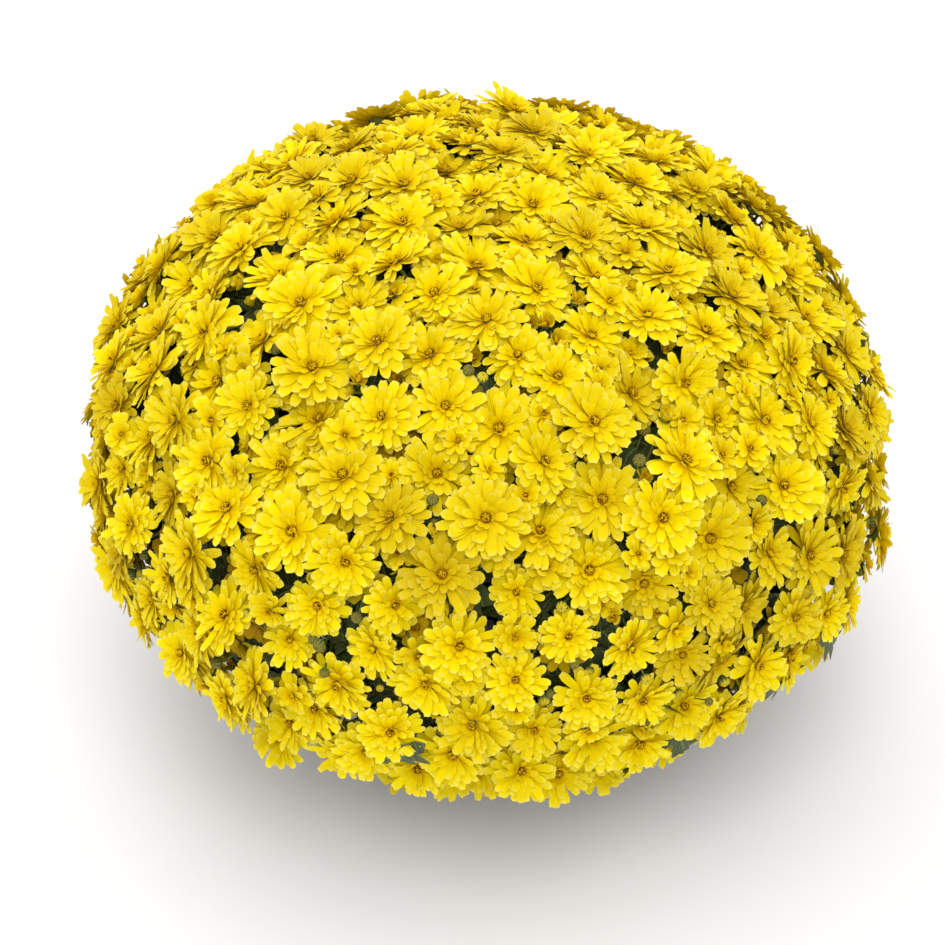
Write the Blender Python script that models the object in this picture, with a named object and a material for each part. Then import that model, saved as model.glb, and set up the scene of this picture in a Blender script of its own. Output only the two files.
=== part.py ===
# A cushion chrysanthemum in full flower, standing in a plain moulded nursery pot.
# Metres, +Z up. The origin is the middle of the pot's underside, and the photograph looks along +Y.
#
# Five rooted cuttings stand in the soil. Their branches carry 26 sprays, and the blooms of the
# sprays open side by side, so that together they close into one low dome down to the skirt.

import math

import bmesh
import bpy
import numpy as np
from mathutils import Matrix, Vector

# The dome that the open blooms make: an ellipsoid round the pot's axis, fuller below its middle
DOME_RADIUS = 0.2370
DOME_HALF_HEIGHT = 0.1775
DOME_MIDDLE = 0.195
SKIRT_FULLNESS = 0.022
SKIRT_DEPTH = 0.55  # sine of the depth by which the fullness has gone again
SKIRT_HEIGHT = 0.069  # middle of the lowest blooms

# The blooms, and the sprays that carry them
SEED = 27
BLOOM_PITCH = 0.0372
BLOOM_JITTER = 0.22  # of the pitch
SPREAD_ROUNDS = 14
SPREAD_REACH = 1.35  # blooms nearer than this many pitches push each other apart
SPREAD_STEP = 0.30
OPENING_STEP = 0.6
BLOOM_RADII = (0.0165, 0.0200)
GROOVE_SHARE = 0.935  # the clefts between blooms lie on the dome shrunk by this
BLOOM_SHARES = (0.970, 1.014)  # how far out each bloom's face stands
PETAL_ROOT_SHARE = 0.60  # notch between two petals, as a share of the bloom's radius
PETAL_CUP = 0.0005
NOTCH_DROP = 0.0060
HEART_RISE = 0.0018
BLOOM_MARGIN = 0.0012  # from each petal to the side of its own cell
SPRAY_GAP = 0.0007  # each spray's edge steps back this far from its neighbour
SPRAY_FORK_SHARE = 0.80  # a spray's stalks meet on the dome shrunk by this
SPRAY_RINGS = ((1, 0.0, 0.0), (5, 3.4, 0.0), (10, 10.8, 18.0), (10, 21.2, 18.0))
SPRAY_COUNT = 26
SHORTEST_SIDE = 0.006  # corners of the blooms' cells that are nearer than this become one
CELL_INSET = 0.004
CELL_ROUNDS = 3
BLOOM_LIFT = 0.10  # every bloom turns a little up to the light, and those of the skirt more
SKIRT_LIFT = 0.42
SKIRT_TURN = 0.35  # sine of the height below which the skirt's lift sets in
BLOOM_LEAN = 0.12
MIDDLE = Vector((0, 0, DOME_MIDDLE))

# Where the blooms stand apart and leaves show: azimuth and height in degrees, and extra room
OPENINGS = (
    (-66, 37, 0.012),
    (-117, 48, 0.009),
    (-133, 50, 0.008),
    (-93, 53, 0.008),
    (-75, 59, 0.008),
    (-97, 29, 0.008),
    (-92, 17, 0.006),
    (-48, 50, 0.006),
    (3, 47, 0.008),
    (-155, 50, 0.008),
)

# The cuttings
CUTTINGS = 5
FIRST_AZIMUTH = -90.0
STEM_CIRCLE = 0.045
STEM_RADIUS = 0.0050
STEM_TOP_RADIUS = 0.0045
STEM_COLLAR = 0.010  # the stem's straight length above the soil
STEM_FORK = (0.058, 0.178)  # distance from the axis, and height
BRANCH_RADII = (0.0036, 0.0019)
BRANCH_STEPS = 5
BRANCH_START = 0.040  # how far a branch keeps the direction of its two ends
BRANCH_END = 0.055
BRANCH_RISE = 0.6  # every branch leaves the stem this much more upwards
RIM_SINE = 0.1  # branches to sprays that face out lower than this rise further, over the rim
RIM_LIFT = 0.028
TOUCH_GAP = 0.0003
TIP_GAP = 0.0004
STEM_SIDES = 6
BRANCH_SIDES = 5
PETIOLE_SIDES = 3

# The pot and its soil
POT_HEIGHT = 0.150
POT_BASE_RADIUS = 0.078
POT_RIM_RADIUS = 0.110
POT_LIP = 0.004
POT_LIP_HEIGHT = 0.014
POT_WALL = 0.0025
POT_SHOULDER = 0.0015  # the wall's step in under the lip
POT_FLOOR = 0.003
POT_SIDES = 28
HOLE_SIDES = 8
DRAIN_HOLES = 4
DRAIN_CIRCLE = 0.052
DRAIN_RADIUS = 0.006
SOIL_TOP = POT_HEIGHT - 0.012
SOIL_MOUND = 0.004
SOIL_FLAT_RADIUS = 0.063
SOIL_WALL_GAP = 0.0004
STEM_HOLE_DEPTH = 0.030
STEM_HOLE_RADIUS = 0.0060

# The leaves: pairs of lobes along the blade, as angle in degrees and share of the half length
LEAF_OUTLINE = (
    (0, 1.00), (20, 0.70), (38, 0.88), (62, 0.56), (88, 0.80), (118, 0.52), (148, 0.74), (180, 0.62),
)
LEAF_LENGTHS = (0.042, 0.060)
LEAF_WIDTH = 0.78
LEAF_THICKNESS = 0.0024
LEAF_KEEL = 0.22
LEAF_ARCH = 0.18
LEAF_STALK = 0.75  # from the branch to the blade's middle, as a share of its length
LEAF_CLEAR = 0.003
LEAF_UNDER_FORK = 0.02  # how much deeper than the sprays' forks the leaves stay
LEAF_HANG_RADIUS = 0.134  # inside the skirt's lower edge
LEAF_LOWEST = 0.015
LEAF_TRIES = 150
LEAF_APART = 0.72  # between the middles of two leaves, as a share of the blade's length
BRANCH_APART = 0.36
LEAF_AHEAD = 0.3  # how a leaf follows its branch, and how widely the draws turn it
LEAF_SPREAD = 0.6
LEAF_TILT = 0.25
LEAF_OUTWARD = 0.5
LOW_LEAVES = (1, 3, 4)  # the points of a skirt branch that carry a leaf, and of one above it
HIGH_LEAVES = (2, 4)
PETIOLE_RADII = (0.0013, 0.0008)
PETIOLE_SINK = 0.001
PETIOLE_END = 0.1  # from the blade's middle, as a share of its length


def clear_scene():
    for obj in list(bpy.data.objects):
        bpy.data.objects.remove(obj, do_unlink=True)


def linear(value):
    return value / 12.92 if value <= 0.04045 else ((value + 0.055) / 1.055) ** 2.4


def material(name, hex_colour, roughness):
    made = bpy.data.materials.new(name)
    made.use_nodes = True
    shader = made.node_tree.nodes["Principled BSDF"]
    channels = [int(hex_colour[i : i + 2], 16) / 255 for i in (0, 2, 4)]
    shader.inputs["Base Color"].default_value = (*map(linear, channels), 1)
    shader.inputs["Roughness"].default_value = roughness
    shader.inputs["Metallic"].default_value = 0.0
    return made


def add_object(name, bm, made_of):
    mesh = bpy.data.meshes.new(name)
    bm.to_mesh(mesh)
    bm.free()
    mesh.materials.append(made_of)
    obj = bpy.data.objects.new(name, mesh)
    bpy.context.scene.collection.objects.link(obj)
    return obj


def on_dome(direction, share=1.0):
    """The point of the dome, shrunk by share, that a unit direction gives."""
    depth = min(1.0, max(0.0, -direction[2] / SKIRT_DEPTH))
    radius = DOME_RADIUS * share * (1 + SKIRT_FULLNESS * math.sin(math.pi * depth))
    return Vector(
        (
            direction[0] * radius,
            direction[1] * radius,
            DOME_MIDDLE + direction[2] * DOME_HALF_HEIGHT * share,
        )
    )


def dome_normal(direction):
    return Vector(
        (
            direction[0] / DOME_RADIUS,
            direction[1] / DOME_RADIUS,
            direction[2] / DOME_HALF_HEIGHT,
        )
    ).normalized()


def direction_at(azimuth, height):
    """A unit direction from an azimuth in degrees and the sine of its height."""
    flat = math.sqrt(max(0.0, 1 - height * height))
    turn = math.radians(azimuth)
    return Vector((flat * math.cos(turn), flat * math.sin(turn), height))


def dome_heights(shares):
    """Sines of height above which each share of the dome's surface lies, counted from the top."""
    sines = np.linspace(1, -1, 4001)
    area = np.sqrt((1 - sines**2) / DOME_RADIUS**2 + sines**2 / DOME_HALF_HEIGHT**2)
    passed = np.cumsum(area)
    return np.interp(shares, passed / passed[-1], sines)


def whole_area():
    """A short formula for the ellipsoid's surface, right to about one part in a hundred."""
    power = 1.6075
    flat = DOME_RADIUS ** (2 * power)
    tall = (DOME_RADIUS * DOME_HALF_HEIGHT) ** power
    return 4 * math.pi * ((flat + 2 * tall) / 3) ** (1 / power)


def bloom_directions():
    """Directions spread evenly over the whole dome: a spiral, jittered, then pushed apart."""
    count = round(whole_area() / (BLOOM_PITCH**2 * math.sqrt(3) / 2))
    rng = np.random.default_rng(SEED)
    scale = np.array([DOME_RADIUS, DOME_RADIUS, DOME_HALF_HEIGHT])
    sines = dome_heights((np.arange(count) + 0.5) / count)
    turn = np.arange(count) * math.pi * (3 - math.sqrt(5))
    flat = np.sqrt(1 - sines**2)
    places = np.stack([flat * np.cos(turn), flat * np.sin(turn), sines], 1) * scale
    places += rng.normal(0, BLOOM_JITTER * BLOOM_PITCH, places.shape)
    bare = [direction_at(turn, math.sin(math.radians(up))) for turn, up, _ in OPENINGS]
    bare = np.array(bare) * scale
    reach = np.array([BLOOM_PITCH / 2 + half for _, _, half in OPENINGS])
    for _ in range(SPREAD_ROUNDS):
        apart = places[:, None] - places[None]
        far = np.linalg.norm(apart, axis=2) + np.eye(count)
        push = np.clip(1 - far / (SPREAD_REACH * BLOOM_PITCH), 0, None) * (1 - np.eye(count))
        moved = (apart / far[..., None] * push[..., None]).sum(1)
        places = places + SPREAD_STEP * BLOOM_PITCH * moved
        apart = places[:, None] - bare[None]
        far = np.linalg.norm(apart, axis=2)
        push = np.clip(reach[None] - far, 0, None)
        places = places + OPENING_STEP * (apart / far[..., None] * push[..., None]).sum(1)
        unit = places / scale
        unit /= np.linalg.norm(unit, axis=1)[:, None]
        places = unit * scale
    return [Vector(direction) for direction in unit]


def spray_directions(skirt):
    """The middle of each spray: one on top, then rings of sprays down to the skirt."""
    sines = np.linspace(1, skirt, 2001)
    area = np.sqrt((1 - sines**2) / DOME_RADIUS**2 + sines**2 / DOME_HALF_HEIGHT**2)
    passed = np.cumsum(area)
    found = []
    for count, sprays_above, offset in SPRAY_RINGS:
        sine = float(np.interp(sprays_above / SPRAY_COUNT, passed / passed[-1], sines))
        for k in range(count):
            found.append(direction_at(FIRST_AZIMUTH + offset + 360 * k / count, sine))
    return found


def bloom_cells(directions):
    """Each bloom's own cell in the groove dome, whose corners are where three blooms meet."""
    hull = bmesh.new()
    for direction in directions:
        hull.verts.new(direction)
    bmesh.ops.convex_hull(hull, input=hull.verts)
    hull.normal_update()
    hull.faces.index_update()
    net = bmesh.new()
    corners = [net.verts.new(on_dome(face.normal, GROOVE_SHARE)) for face in hull.faces]
    number = net.faces.layers.int.new("bloom")
    for bloom, vert in enumerate(hull.verts):
        side = vert.co.orthogonal().normalized()
        up = vert.co.cross(side)
        turns = [(math.atan2(f.normal.dot(up), f.normal.dot(side)), f.index) for f in vert.link_faces]
        net.faces.new([corners[index] for _, index in sorted(turns)])[number] = bloom
    hull.free()
    bmesh.ops.remove_doubles(net, verts=net.verts, dist=SHORTEST_SIDE)
    net.verts.index_update()
    places = [vert.co.copy() for vert in net.verts]
    cells = {face[number]: [vert.index for vert in face.verts] for face in net.faces}
    net.free()
    return places, cells


def share_out(directions, sprays):
    """The spray that each bloom belongs to, by the nearest of the sprays' middles."""
    owner = []
    for direction in directions:
        place = on_dome(direction)
        far = [(on_dome(spray) - place).length for spray in sprays]
        owner.append(far.index(min(far)))
    return owner


def keep_in_cell(point, walls):
    """Moves a point to inside the planes from the dome's middle through its cell's sides."""
    for _ in range(CELL_ROUNDS):
        for normal in walls:
            inside = (point - MIDDLE).dot(normal)
            if inside < BLOOM_MARGIN:
                point = point + normal * (BLOOM_MARGIN - inside)
    return point


def cell_walls(outline, centre):
    walls = []
    for here, after in zip(outline, outline[1:] + outline[:1]):
        normal = (here - MIDDLE).cross(after - MIDDLE).normalized()
        walls.append(normal if normal.dot(centre - MIDDLE) > 0 else -normal)
    return walls


def open_bloom(bm, face, direction, draw):
    """Raises one cell into a bloom: a petal towards each corner, notches between, a domed heart."""
    radius = draw.uniform(*BLOOM_RADII)
    centre = on_dome(direction, draw.uniform(*BLOOM_SHARES))
    lift = Vector((0, 0, BLOOM_LIFT + SKIRT_LIFT * max(0.0, SKIRT_TURN - direction.z)))
    axis = (dome_normal(direction) + lift + Vector(draw.normal(0, BLOOM_LEAN, 3))).normalized()
    ends = list(face.verts)
    walls = cell_walls([vert.co.copy() for vert in ends], centre)
    bmesh.ops.inset_individual(bm, faces=[face], thickness=CELL_INSET)
    tips = list(face.verts)
    notches = [bmesh.utils.edge_split(edge, edge.verts[0], 0.5)[1] for edge in list(face.edges)]
    for notch in notches:
        outer = next(ring for ring in notch.link_faces if ring is not face)
        for end in [vert for vert in outer.verts if vert in ends]:
            bmesh.ops.connect_vert_pair(bm, verts=[notch, end])

    def set_out(vert, reach, rise):
        flat = vert.co - centre
        flat = (flat - axis * flat.dot(axis)).normalized()
        return keep_in_cell(centre + flat * reach + axis * rise, walls)

    places = [set_out(notch, PETAL_ROOT_SHARE * radius, -NOTCH_DROP) for notch in notches]
    places += [set_out(tip, radius, PETAL_CUP) for tip in tips]
    for vert, place in zip(notches + tips, places):
        vert.co = place
    heart = bmesh.ops.poke(bm, faces=[face])["verts"][0]
    heart.co = keep_in_cell(centre + axis * HEART_RISE, walls)


def spray(name, blooms, directions, corners, cells, draw, made_of):
    """One spray: its blooms side by side, over a cone down to the fork where its stalks meet."""
    bm = bmesh.new()
    used = sorted({corner for bloom in blooms for corner in cells[bloom]})
    verts = {corner: bm.verts.new(corners[corner]) for corner in used}
    faces = [bm.faces.new([verts[corner] for corner in cells[bloom]]) for bloom in blooms]
    steps_back = {}
    for vert in bm.verts:
        if vert.is_boundary:
            middle = sum((face.calc_center_median() for face in vert.link_faces), Vector())
            inward = middle / len(vert.link_faces) - vert.co
            steps_back[vert] = inward.normalized() * SPRAY_GAP
    for bloom, face in zip(blooms, faces):
        open_bloom(bm, face, directions[bloom], draw)
    for vert, step in steps_back.items():
        vert.co += step
    axis = sum((directions[bloom] for bloom in blooms), Vector()).normalized()
    fork = on_dome(axis, SPRAY_FORK_SHARE)
    made = bmesh.ops.extrude_edge_only(bm, edges=[edge for edge in bm.edges if edge.is_boundary])
    lower = [item for item in made["geom"] if isinstance(item, bmesh.types.BMVert)]
    bmesh.ops.pointmerge(bm, verts=lower, merge_co=fork)
    bmesh.ops.recalc_face_normals(bm, faces=bm.faces)
    add_object(name, bm, made_of)
    return fork, dome_normal(axis)


def tube(points, radii, sides):
    """A tapering stalk through the points, closed at both ends."""
    bm = bmesh.new()
    loops = []
    last = len(points) - 1
    for k, (point, radius) in enumerate(zip(points, radii)):
        ahead = points[min(k + 1, last)] - points[max(k - 1, 0)]
        turn = ahead.to_track_quat("Z", "Y").to_matrix().to_4x4()
        place = Matrix.Translation(point) @ turn
        made = bmesh.ops.create_circle(
            bm, segments=sides, radius=radius, cap_ends=k in (0, last), matrix=place
        )
        loops.append({edge for vert in made["verts"] for edge in vert.link_edges})
    for here, after in zip(loops, loops[1:]):
        bmesh.ops.bridge_loops(bm, edges=list(here | after))
    bmesh.ops.recalc_face_normals(bm, faces=bm.faces)
    return bm


def bend(start, towards, back, end, steps):
    """Points along a cubic curve."""
    found = []
    for k in range(steps + 1):
        t = k / steps
        weights = ((1 - t) ** 3, 3 * t * (1 - t) ** 2, 3 * t * t * (1 - t), t**3)
        found.append(sum((p * w for p, w in zip((start, towards, back, end), weights)), Vector()))
    return found


def leaf_blade(middle, along, across, face_up, length):
    """A lobed blade, thin at its edge and thicker along its midrib, keeled and arched."""
    bm = bmesh.new()
    half = length / 2
    outline = [*LEAF_OUTLINE, *((-turn, share) for turn, share in reversed(LEAF_OUTLINE[1:-1]))]
    for side in (1, -1):
        made = bmesh.ops.create_circle(
            bm, segments=len(outline), radius=1, cap_ends=True, cap_tris=True
        )
        rim = [vert for vert in made["verts"] if vert.co.length > 0.5]
        rim.sort(key=lambda vert: math.atan2(vert.co.y, vert.co.x) % (2 * math.pi - 1e-6))
        for vert, (turn, share) in zip(rim, outline):
            x = math.cos(math.radians(turn)) * share * half
            y = math.sin(math.radians(turn)) * share * half * LEAF_WIDTH
            sag = LEAF_KEEL * abs(y) - LEAF_ARCH * x * x / half
            vert.co = middle + along * x + across * y + face_up * sag
        for vert in made["verts"]:
            if vert not in rim:
                vert.co = middle + face_up * (side * LEAF_THICKNESS / 2)
    bmesh.ops.remove_doubles(bm, verts=bm.verts, dist=1e-6)
    bmesh.ops.recalc_face_normals(bm, faces=bm.faces)
    return bm


def clear_for_leaf(point, azimuth):
    """Whether a leaf may reach this point: under the sprays, off the pot, in its cutting's sector."""
    share = Vector(
        (
            point.x / DOME_RADIUS,
            point.y / DOME_RADIUS,
            (point.z - DOME_MIDDLE) / DOME_HALF_HEIGHT,
        )
    ).length
    flat = math.hypot(point.x, point.y)
    under_sprays = share < SPRAY_FORK_SHARE - LEAF_UNDER_FORK
    hanging = point.z < SKIRT_HEIGHT and flat < LEAF_HANG_RADIUS and point.z > LEAF_LOWEST
    off_pot = point.z > POT_HEIGHT + LEAF_CLEAR or flat > POT_RIM_RADIUS + LEAF_CLEAR
    apart = math.pi / CUTTINGS - abs(math.remainder(math.atan2(point.y, point.x) - azimuth, math.tau))
    return (under_sprays or hanging) and off_pot and flat * math.sin(apart) > LEAF_CLEAR


def leaf(root, heading, azimuth, taken, draw):
    """A leaf on its stalk, turned by seeded draws until it has room. None where it has none."""
    for _ in range(LEAF_TRIES):
        length = draw.uniform(*LEAF_LENGTHS)
        along = (heading * LEAF_AHEAD + Vector(draw.normal(0, LEAF_SPREAD, 3))).normalized()
        middle = root + along * (LEAF_STALK * length)
        face_up = Vector(draw.normal(0, LEAF_TILT, 3)) + Vector((0, 0, 1)) + heading * LEAF_OUTWARD
        across = face_up.cross(along).normalized()
        face_up = along.cross(across)
        if any((middle - place).length < room * length for place, room in taken):
            continue
        blade = leaf_blade(middle, along, across, face_up, length)
        if all(clear_for_leaf(vert.co, azimuth) for vert in blade.verts):
            taken.append((middle, LEAF_APART))
            base = root - along * PETIOLE_SINK
            attach = middle - along * (PETIOLE_END * length)
            return [blade, tube([base, attach], PETIOLE_RADII, PETIOLE_SIDES)]
        blade.free()
    return []


def fuse(name, shapes, operation, base, made_of):
    """Joins shapes to a base, or cuts them from it, and leaves one closed body."""
    obj = add_object(name, base, made_of)
    group = bpy.data.collections.new(name + "_shapes")
    bpy.context.scene.collection.children.link(group)
    for number, shape in enumerate(shapes):
        mesh = bpy.data.meshes.new(f"{name}_shape_{number}")
        shape.to_mesh(mesh)
        shape.free()
        group.objects.link(bpy.data.objects.new(mesh.name, mesh))
    boolean = obj.modifiers.new("fuse", "BOOLEAN")
    boolean.operand_type = "COLLECTION"
    boolean.collection = group
    boolean.operation = operation
    boolean.solver = "EXACT"
    graph = bpy.context.evaluated_depsgraph_get()
    joined = bmesh.new()
    joined.from_object(obj, graph)
    obj.modifiers.clear()
    for helper in list(group.objects):
        bpy.data.objects.remove(helper, do_unlink=True)
    bpy.data.collections.remove(group)
    keep_main_body(joined)
    joined.to_mesh(obj.data)
    joined.free()
    return obj


def keep_main_body(bm):
    """Drops loose scraps and the walls of sealed hollows."""
    left = set(bm.faces)
    bodies = []
    while left:
        body = set()
        ahead = [left.pop()]
        while ahead:
            face = ahead.pop()
            body.add(face)
            for edge in face.edges:
                found = [other for other in edge.link_faces if other in left]
                left.difference_update(found)
                ahead += found
        bodies.append(body)
    bodies.sort(key=len)
    loose = [face for body in bodies[:-1] for face in body]
    bmesh.ops.delete(bm, geom=loose, context="FACES")


def cutting(number, sprays, made_of):
    """One rooted cutting: a stem out of its hole, a branch to each of its sprays, and leaves."""
    azimuth = math.radians(FIRST_AZIMUTH + 360 * number / CUTTINGS)
    outward = Vector((math.cos(azimuth), math.sin(azimuth), 0))
    root = stem_foot(number, SOIL_TOP - STEM_HOLE_DEPTH + TOUCH_GAP)
    collar = stem_foot(number, SOIL_TOP + STEM_COLLAR)
    fork = outward * STEM_FORK[0] + Vector((0, 0, STEM_FORK[1]))
    draw = np.random.default_rng(SEED + number)
    routes = []
    for tip, axis in sprays:
        start = fork - Vector((0, 0, BRANCH_RADII[0]))
        end = tip - axis * TIP_GAP
        rim_lift = Vector((0, 0, RIM_LIFT if axis.z < RIM_SINE else 0.0))
        back = end - axis * BRANCH_END + rim_lift
        heading = ((end - start).normalized() + Vector((0, 0, BRANCH_RISE))).normalized()
        ahead = start + heading * BRANCH_START + rim_lift
        routes.append(bend(start, ahead, back, end, BRANCH_STEPS))
    taken = [(place, BRANCH_APART) for route in routes for place in route]
    shapes = []
    for (_, axis), route in zip(sprays, routes):
        shapes.append(tube(route, list(np.linspace(*BRANCH_RADII, len(route))), BRANCH_SIDES))
        for place in LOW_LEAVES if axis.z < RIM_SINE else HIGH_LEAVES:
            heading = (route[place] - route[place - 1]).normalized()
            shapes += leaf(route[place], heading, azimuth, taken, draw)
    stem = tube([root, collar, fork], [STEM_RADIUS, STEM_RADIUS, STEM_TOP_RADIUS], STEM_SIDES)
    fuse(f"cutting_{number + 1}", shapes, "UNION", stem, made_of)


def stem_foot(number, height):
    azimuth = math.radians(FIRST_AZIMUTH + 360 * number / CUTTINGS)
    return Vector((STEM_CIRCLE * math.cos(azimuth), STEM_CIRCLE * math.sin(azimuth), height))


def turned(profile):
    """A closed round body from a profile of distance and height that starts and ends on the axis."""
    bm = bmesh.new()
    verts = [bm.verts.new((distance, 0, height)) for distance, height in profile]
    edges = [bm.edges.new(pair) for pair in zip(verts, verts[1:])]
    bmesh.ops.spin(
        bm, geom=verts + edges, cent=(0, 0, 0), axis=(0, 0, 1), angle=math.tau,
        steps=POT_SIDES, use_merge=True,
    )
    bmesh.ops.remove_doubles(bm, verts=bm.verts, dist=1e-5)
    bmesh.ops.recalc_face_normals(bm, faces=bm.faces)
    return bm


def peg(centre, radius, low, high):
    """A round cutter for a plain hole."""
    bm = bmesh.new()
    place = Matrix.Translation((centre[0], centre[1], (low + high) / 2))
    bmesh.ops.create_cone(
        bm, segments=HOLE_SIDES, radius1=radius, radius2=radius, depth=high - low, cap_ends=True, matrix=place
    )
    return bm


def pot(made_of):
    """The moulded pot: tapering wall, a lip round the rim, and drainage holes through its floor."""
    top = POT_RIM_RADIUS - POT_LIP
    profile = (
        (0, 0),
        (POT_BASE_RADIUS, 0),
        (top - POT_SHOULDER, POT_HEIGHT - POT_LIP_HEIGHT),
        (POT_RIM_RADIUS, POT_HEIGHT - POT_LIP_HEIGHT),
        (POT_RIM_RADIUS, POT_HEIGHT),
        (top - POT_WALL, POT_HEIGHT),
        (POT_BASE_RADIUS - POT_WALL, POT_FLOOR),
        (0, POT_FLOOR),
    )
    holes = []
    for k in range(DRAIN_HOLES):
        turn = math.tau * (k + 0.5) / DRAIN_HOLES
        centre = (DRAIN_CIRCLE * math.cos(turn), DRAIN_CIRCLE * math.sin(turn))
        holes.append(peg(centre, DRAIN_RADIUS, -POT_FLOOR, 2 * POT_FLOOR))
    fuse("pot", holes, "DIFFERENCE", turned(profile), made_of)


def soil(made_of):
    """The soil that fills the pot, a little mounded, with a plain hole for each stem."""
    slope = (POT_RIM_RADIUS - POT_LIP - POT_BASE_RADIUS) / (POT_HEIGHT - POT_FLOOR)
    low = POT_BASE_RADIUS - POT_WALL - SOIL_WALL_GAP
    edge = SOIL_TOP - SOIL_MOUND
    profile = (
        (0, POT_FLOOR + TOUCH_GAP),
        (low, POT_FLOOR + TOUCH_GAP),
        (low + slope * (edge - POT_FLOOR), edge),
        (SOIL_FLAT_RADIUS, SOIL_TOP),
        (0, SOIL_TOP),
    )
    holes = []
    for number in range(CUTTINGS):
        foot = stem_foot(number, SOIL_TOP - STEM_HOLE_DEPTH)
        holes.append(peg(foot, STEM_HOLE_RADIUS, foot.z, SOIL_TOP + SOIL_MOUND))
    fuse("soil", holes, "DIFFERENCE", turned(profile), made_of)


def build():
    clear_scene()
    petals = material("chrysanthemum petals", "E6C319", 0.55)
    foliage = material("chrysanthemum stems and leaves", "4A5A2A", 0.6)
    directions = bloom_directions()
    corners, cells = bloom_cells(directions)
    skirt = (SKIRT_HEIGHT - DOME_MIDDLE) / DOME_HALF_HEIGHT
    blooms = [bloom for bloom, direction in enumerate(directions) if direction.z >= skirt]
    middles = spray_directions(skirt)
    owner = share_out([directions[bloom] for bloom in blooms], middles)
    draw = np.random.default_rng(SEED)
    forks = []
    for number in range(len(middles)):
        own = [bloom for bloom, spray_number in zip(blooms, owner) if spray_number == number]
        name = f"spray_{number + 1:02d}"
        forks.append(spray(name, own, directions, corners, cells, draw, petals))
    for number in range(CUTTINGS):
        carried = [fork for k, fork in enumerate(forks) if spray_cutting(k) == number]
        cutting(number, carried, foliage)
    pot(material("black polypropylene", "1E1F21", 0.45))
    soil(material("peat potting soil", "3B2A1E", 0.95))


def spray_cutting(number):
    """The cutting that carries a spray: the one whose sector the spray's middle lies in."""
    first = 0
    for count, _, _ in SPRAY_RINGS:
        if number < first + count:
            return (number - first) * CUTTINGS // count
        first += count
    return 0


build()
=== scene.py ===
# The looks of the pot chrysanthemum: a cushion of yellow blooms over stems, leaves, soil and pot.
# Metres, +Z up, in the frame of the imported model. The photograph looks along +Y.
#
# Blooms, stalks, leaves and branches stand where the solids have them, from the same values and
# the same seeded draws. Each spray's solid is replaced by its blooms, petal by petal.

import math
from collections import namedtuple

import bmesh
import bpy
import numpy as np
from mathutils import Matrix, Vector, noise


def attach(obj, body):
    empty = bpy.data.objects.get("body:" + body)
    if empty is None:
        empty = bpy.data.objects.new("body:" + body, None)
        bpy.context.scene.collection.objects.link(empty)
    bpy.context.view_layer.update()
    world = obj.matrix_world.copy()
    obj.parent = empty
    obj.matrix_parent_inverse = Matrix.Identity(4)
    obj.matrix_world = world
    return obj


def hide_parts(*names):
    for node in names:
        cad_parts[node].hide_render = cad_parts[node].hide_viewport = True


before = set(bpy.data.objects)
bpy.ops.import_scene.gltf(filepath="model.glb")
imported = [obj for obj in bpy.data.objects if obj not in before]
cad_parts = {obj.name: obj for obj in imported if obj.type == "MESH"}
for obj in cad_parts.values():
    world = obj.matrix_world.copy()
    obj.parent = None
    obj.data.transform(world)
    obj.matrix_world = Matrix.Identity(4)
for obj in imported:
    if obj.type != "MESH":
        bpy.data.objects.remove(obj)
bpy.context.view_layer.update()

# The dome, the blooms and the sprays, as in the solids
DOME_RADIUS = 0.2370
DOME_HALF_HEIGHT = 0.1775
DOME_MIDDLE = 0.195
SKIRT_FULLNESS = 0.022
SKIRT_DEPTH = 0.55
SKIRT_HEIGHT = 0.069
SEED = 27
BLOOM_PITCH = 0.0372
BLOOM_JITTER = 0.22
SPREAD_ROUNDS = 14
SPREAD_REACH = 1.35
SPREAD_STEP = 0.30
OPENING_STEP = 0.6
BLOOM_RADII = (0.0165, 0.0200)
BLOOM_SHARES = (0.962, 1.018)
SPRAY_FORK_SHARE = 0.80
SPRAY_RINGS = ((1, 0.0, 0.0), (5, 3.4, 0.0), (10, 10.8, 18.0), (10, 21.2, 18.0))
SPRAY_COUNT = 26
BLOOM_LIFT = 0.10
SKIRT_LIFT = 0.70  # the petals turn up further than the solids', which keep to their cells
SKIRT_TURN = 0.35
BLOOM_LEAN = 0.20
OPENINGS = (
    (-66, 37, 0.012),
    (-117, 48, 0.009),
    (-133, 50, 0.008),
    (-93, 53, 0.008),
    (-75, 59, 0.008),
    (-97, 29, 0.008),
    (-92, 17, 0.006),
    (-48, 50, 0.006),
    (3, 47, 0.008),
    (-155, 50, 0.008),
)

# The cuttings, their leaves, the pot and the soil, as in the solids
CUTTINGS = 5
FIRST_AZIMUTH = -90.0
STEM_CIRCLE = 0.045
STEM_RADIUS = 0.0050
STEM_TOP_RADIUS = 0.0045
STEM_COLLAR = 0.010
STEM_FORK = (0.058, 0.178)
BRANCH_RADII = (0.0036, 0.0019)
BRANCH_STEPS = 5
BRANCH_START = 0.040
BRANCH_END = 0.055
BRANCH_RISE = 0.6
RIM_SINE = 0.1
RIM_LIFT = 0.028
TIP_GAP = 0.0004
POT_HEIGHT = 0.150
POT_BASE_RADIUS = 0.078
POT_RIM_RADIUS = 0.110
POT_LIP = 0.004
POT_LIP_HEIGHT = 0.014
POT_WALL = 0.0025
POT_SHOULDER = 0.0015
POT_FLOOR = 0.003
DRAIN_HOLES = 4
DRAIN_CIRCLE = 0.052
DRAIN_RADIUS = 0.006
SOIL_TOP = POT_HEIGHT - 0.012
SOIL_MOUND = 0.004
SOIL_FLAT_RADIUS = 0.063
SOIL_WALL_GAP = 0.0004
STEM_HOLE_DEPTH = 0.030
LEAF_OUTLINE = (
    (0, 1.00), (20, 0.70), (38, 0.88), (62, 0.56), (88, 0.80), (118, 0.52), (148, 0.74), (180, 0.62),
)
LEAF_LENGTHS = (0.042, 0.060)
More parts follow.
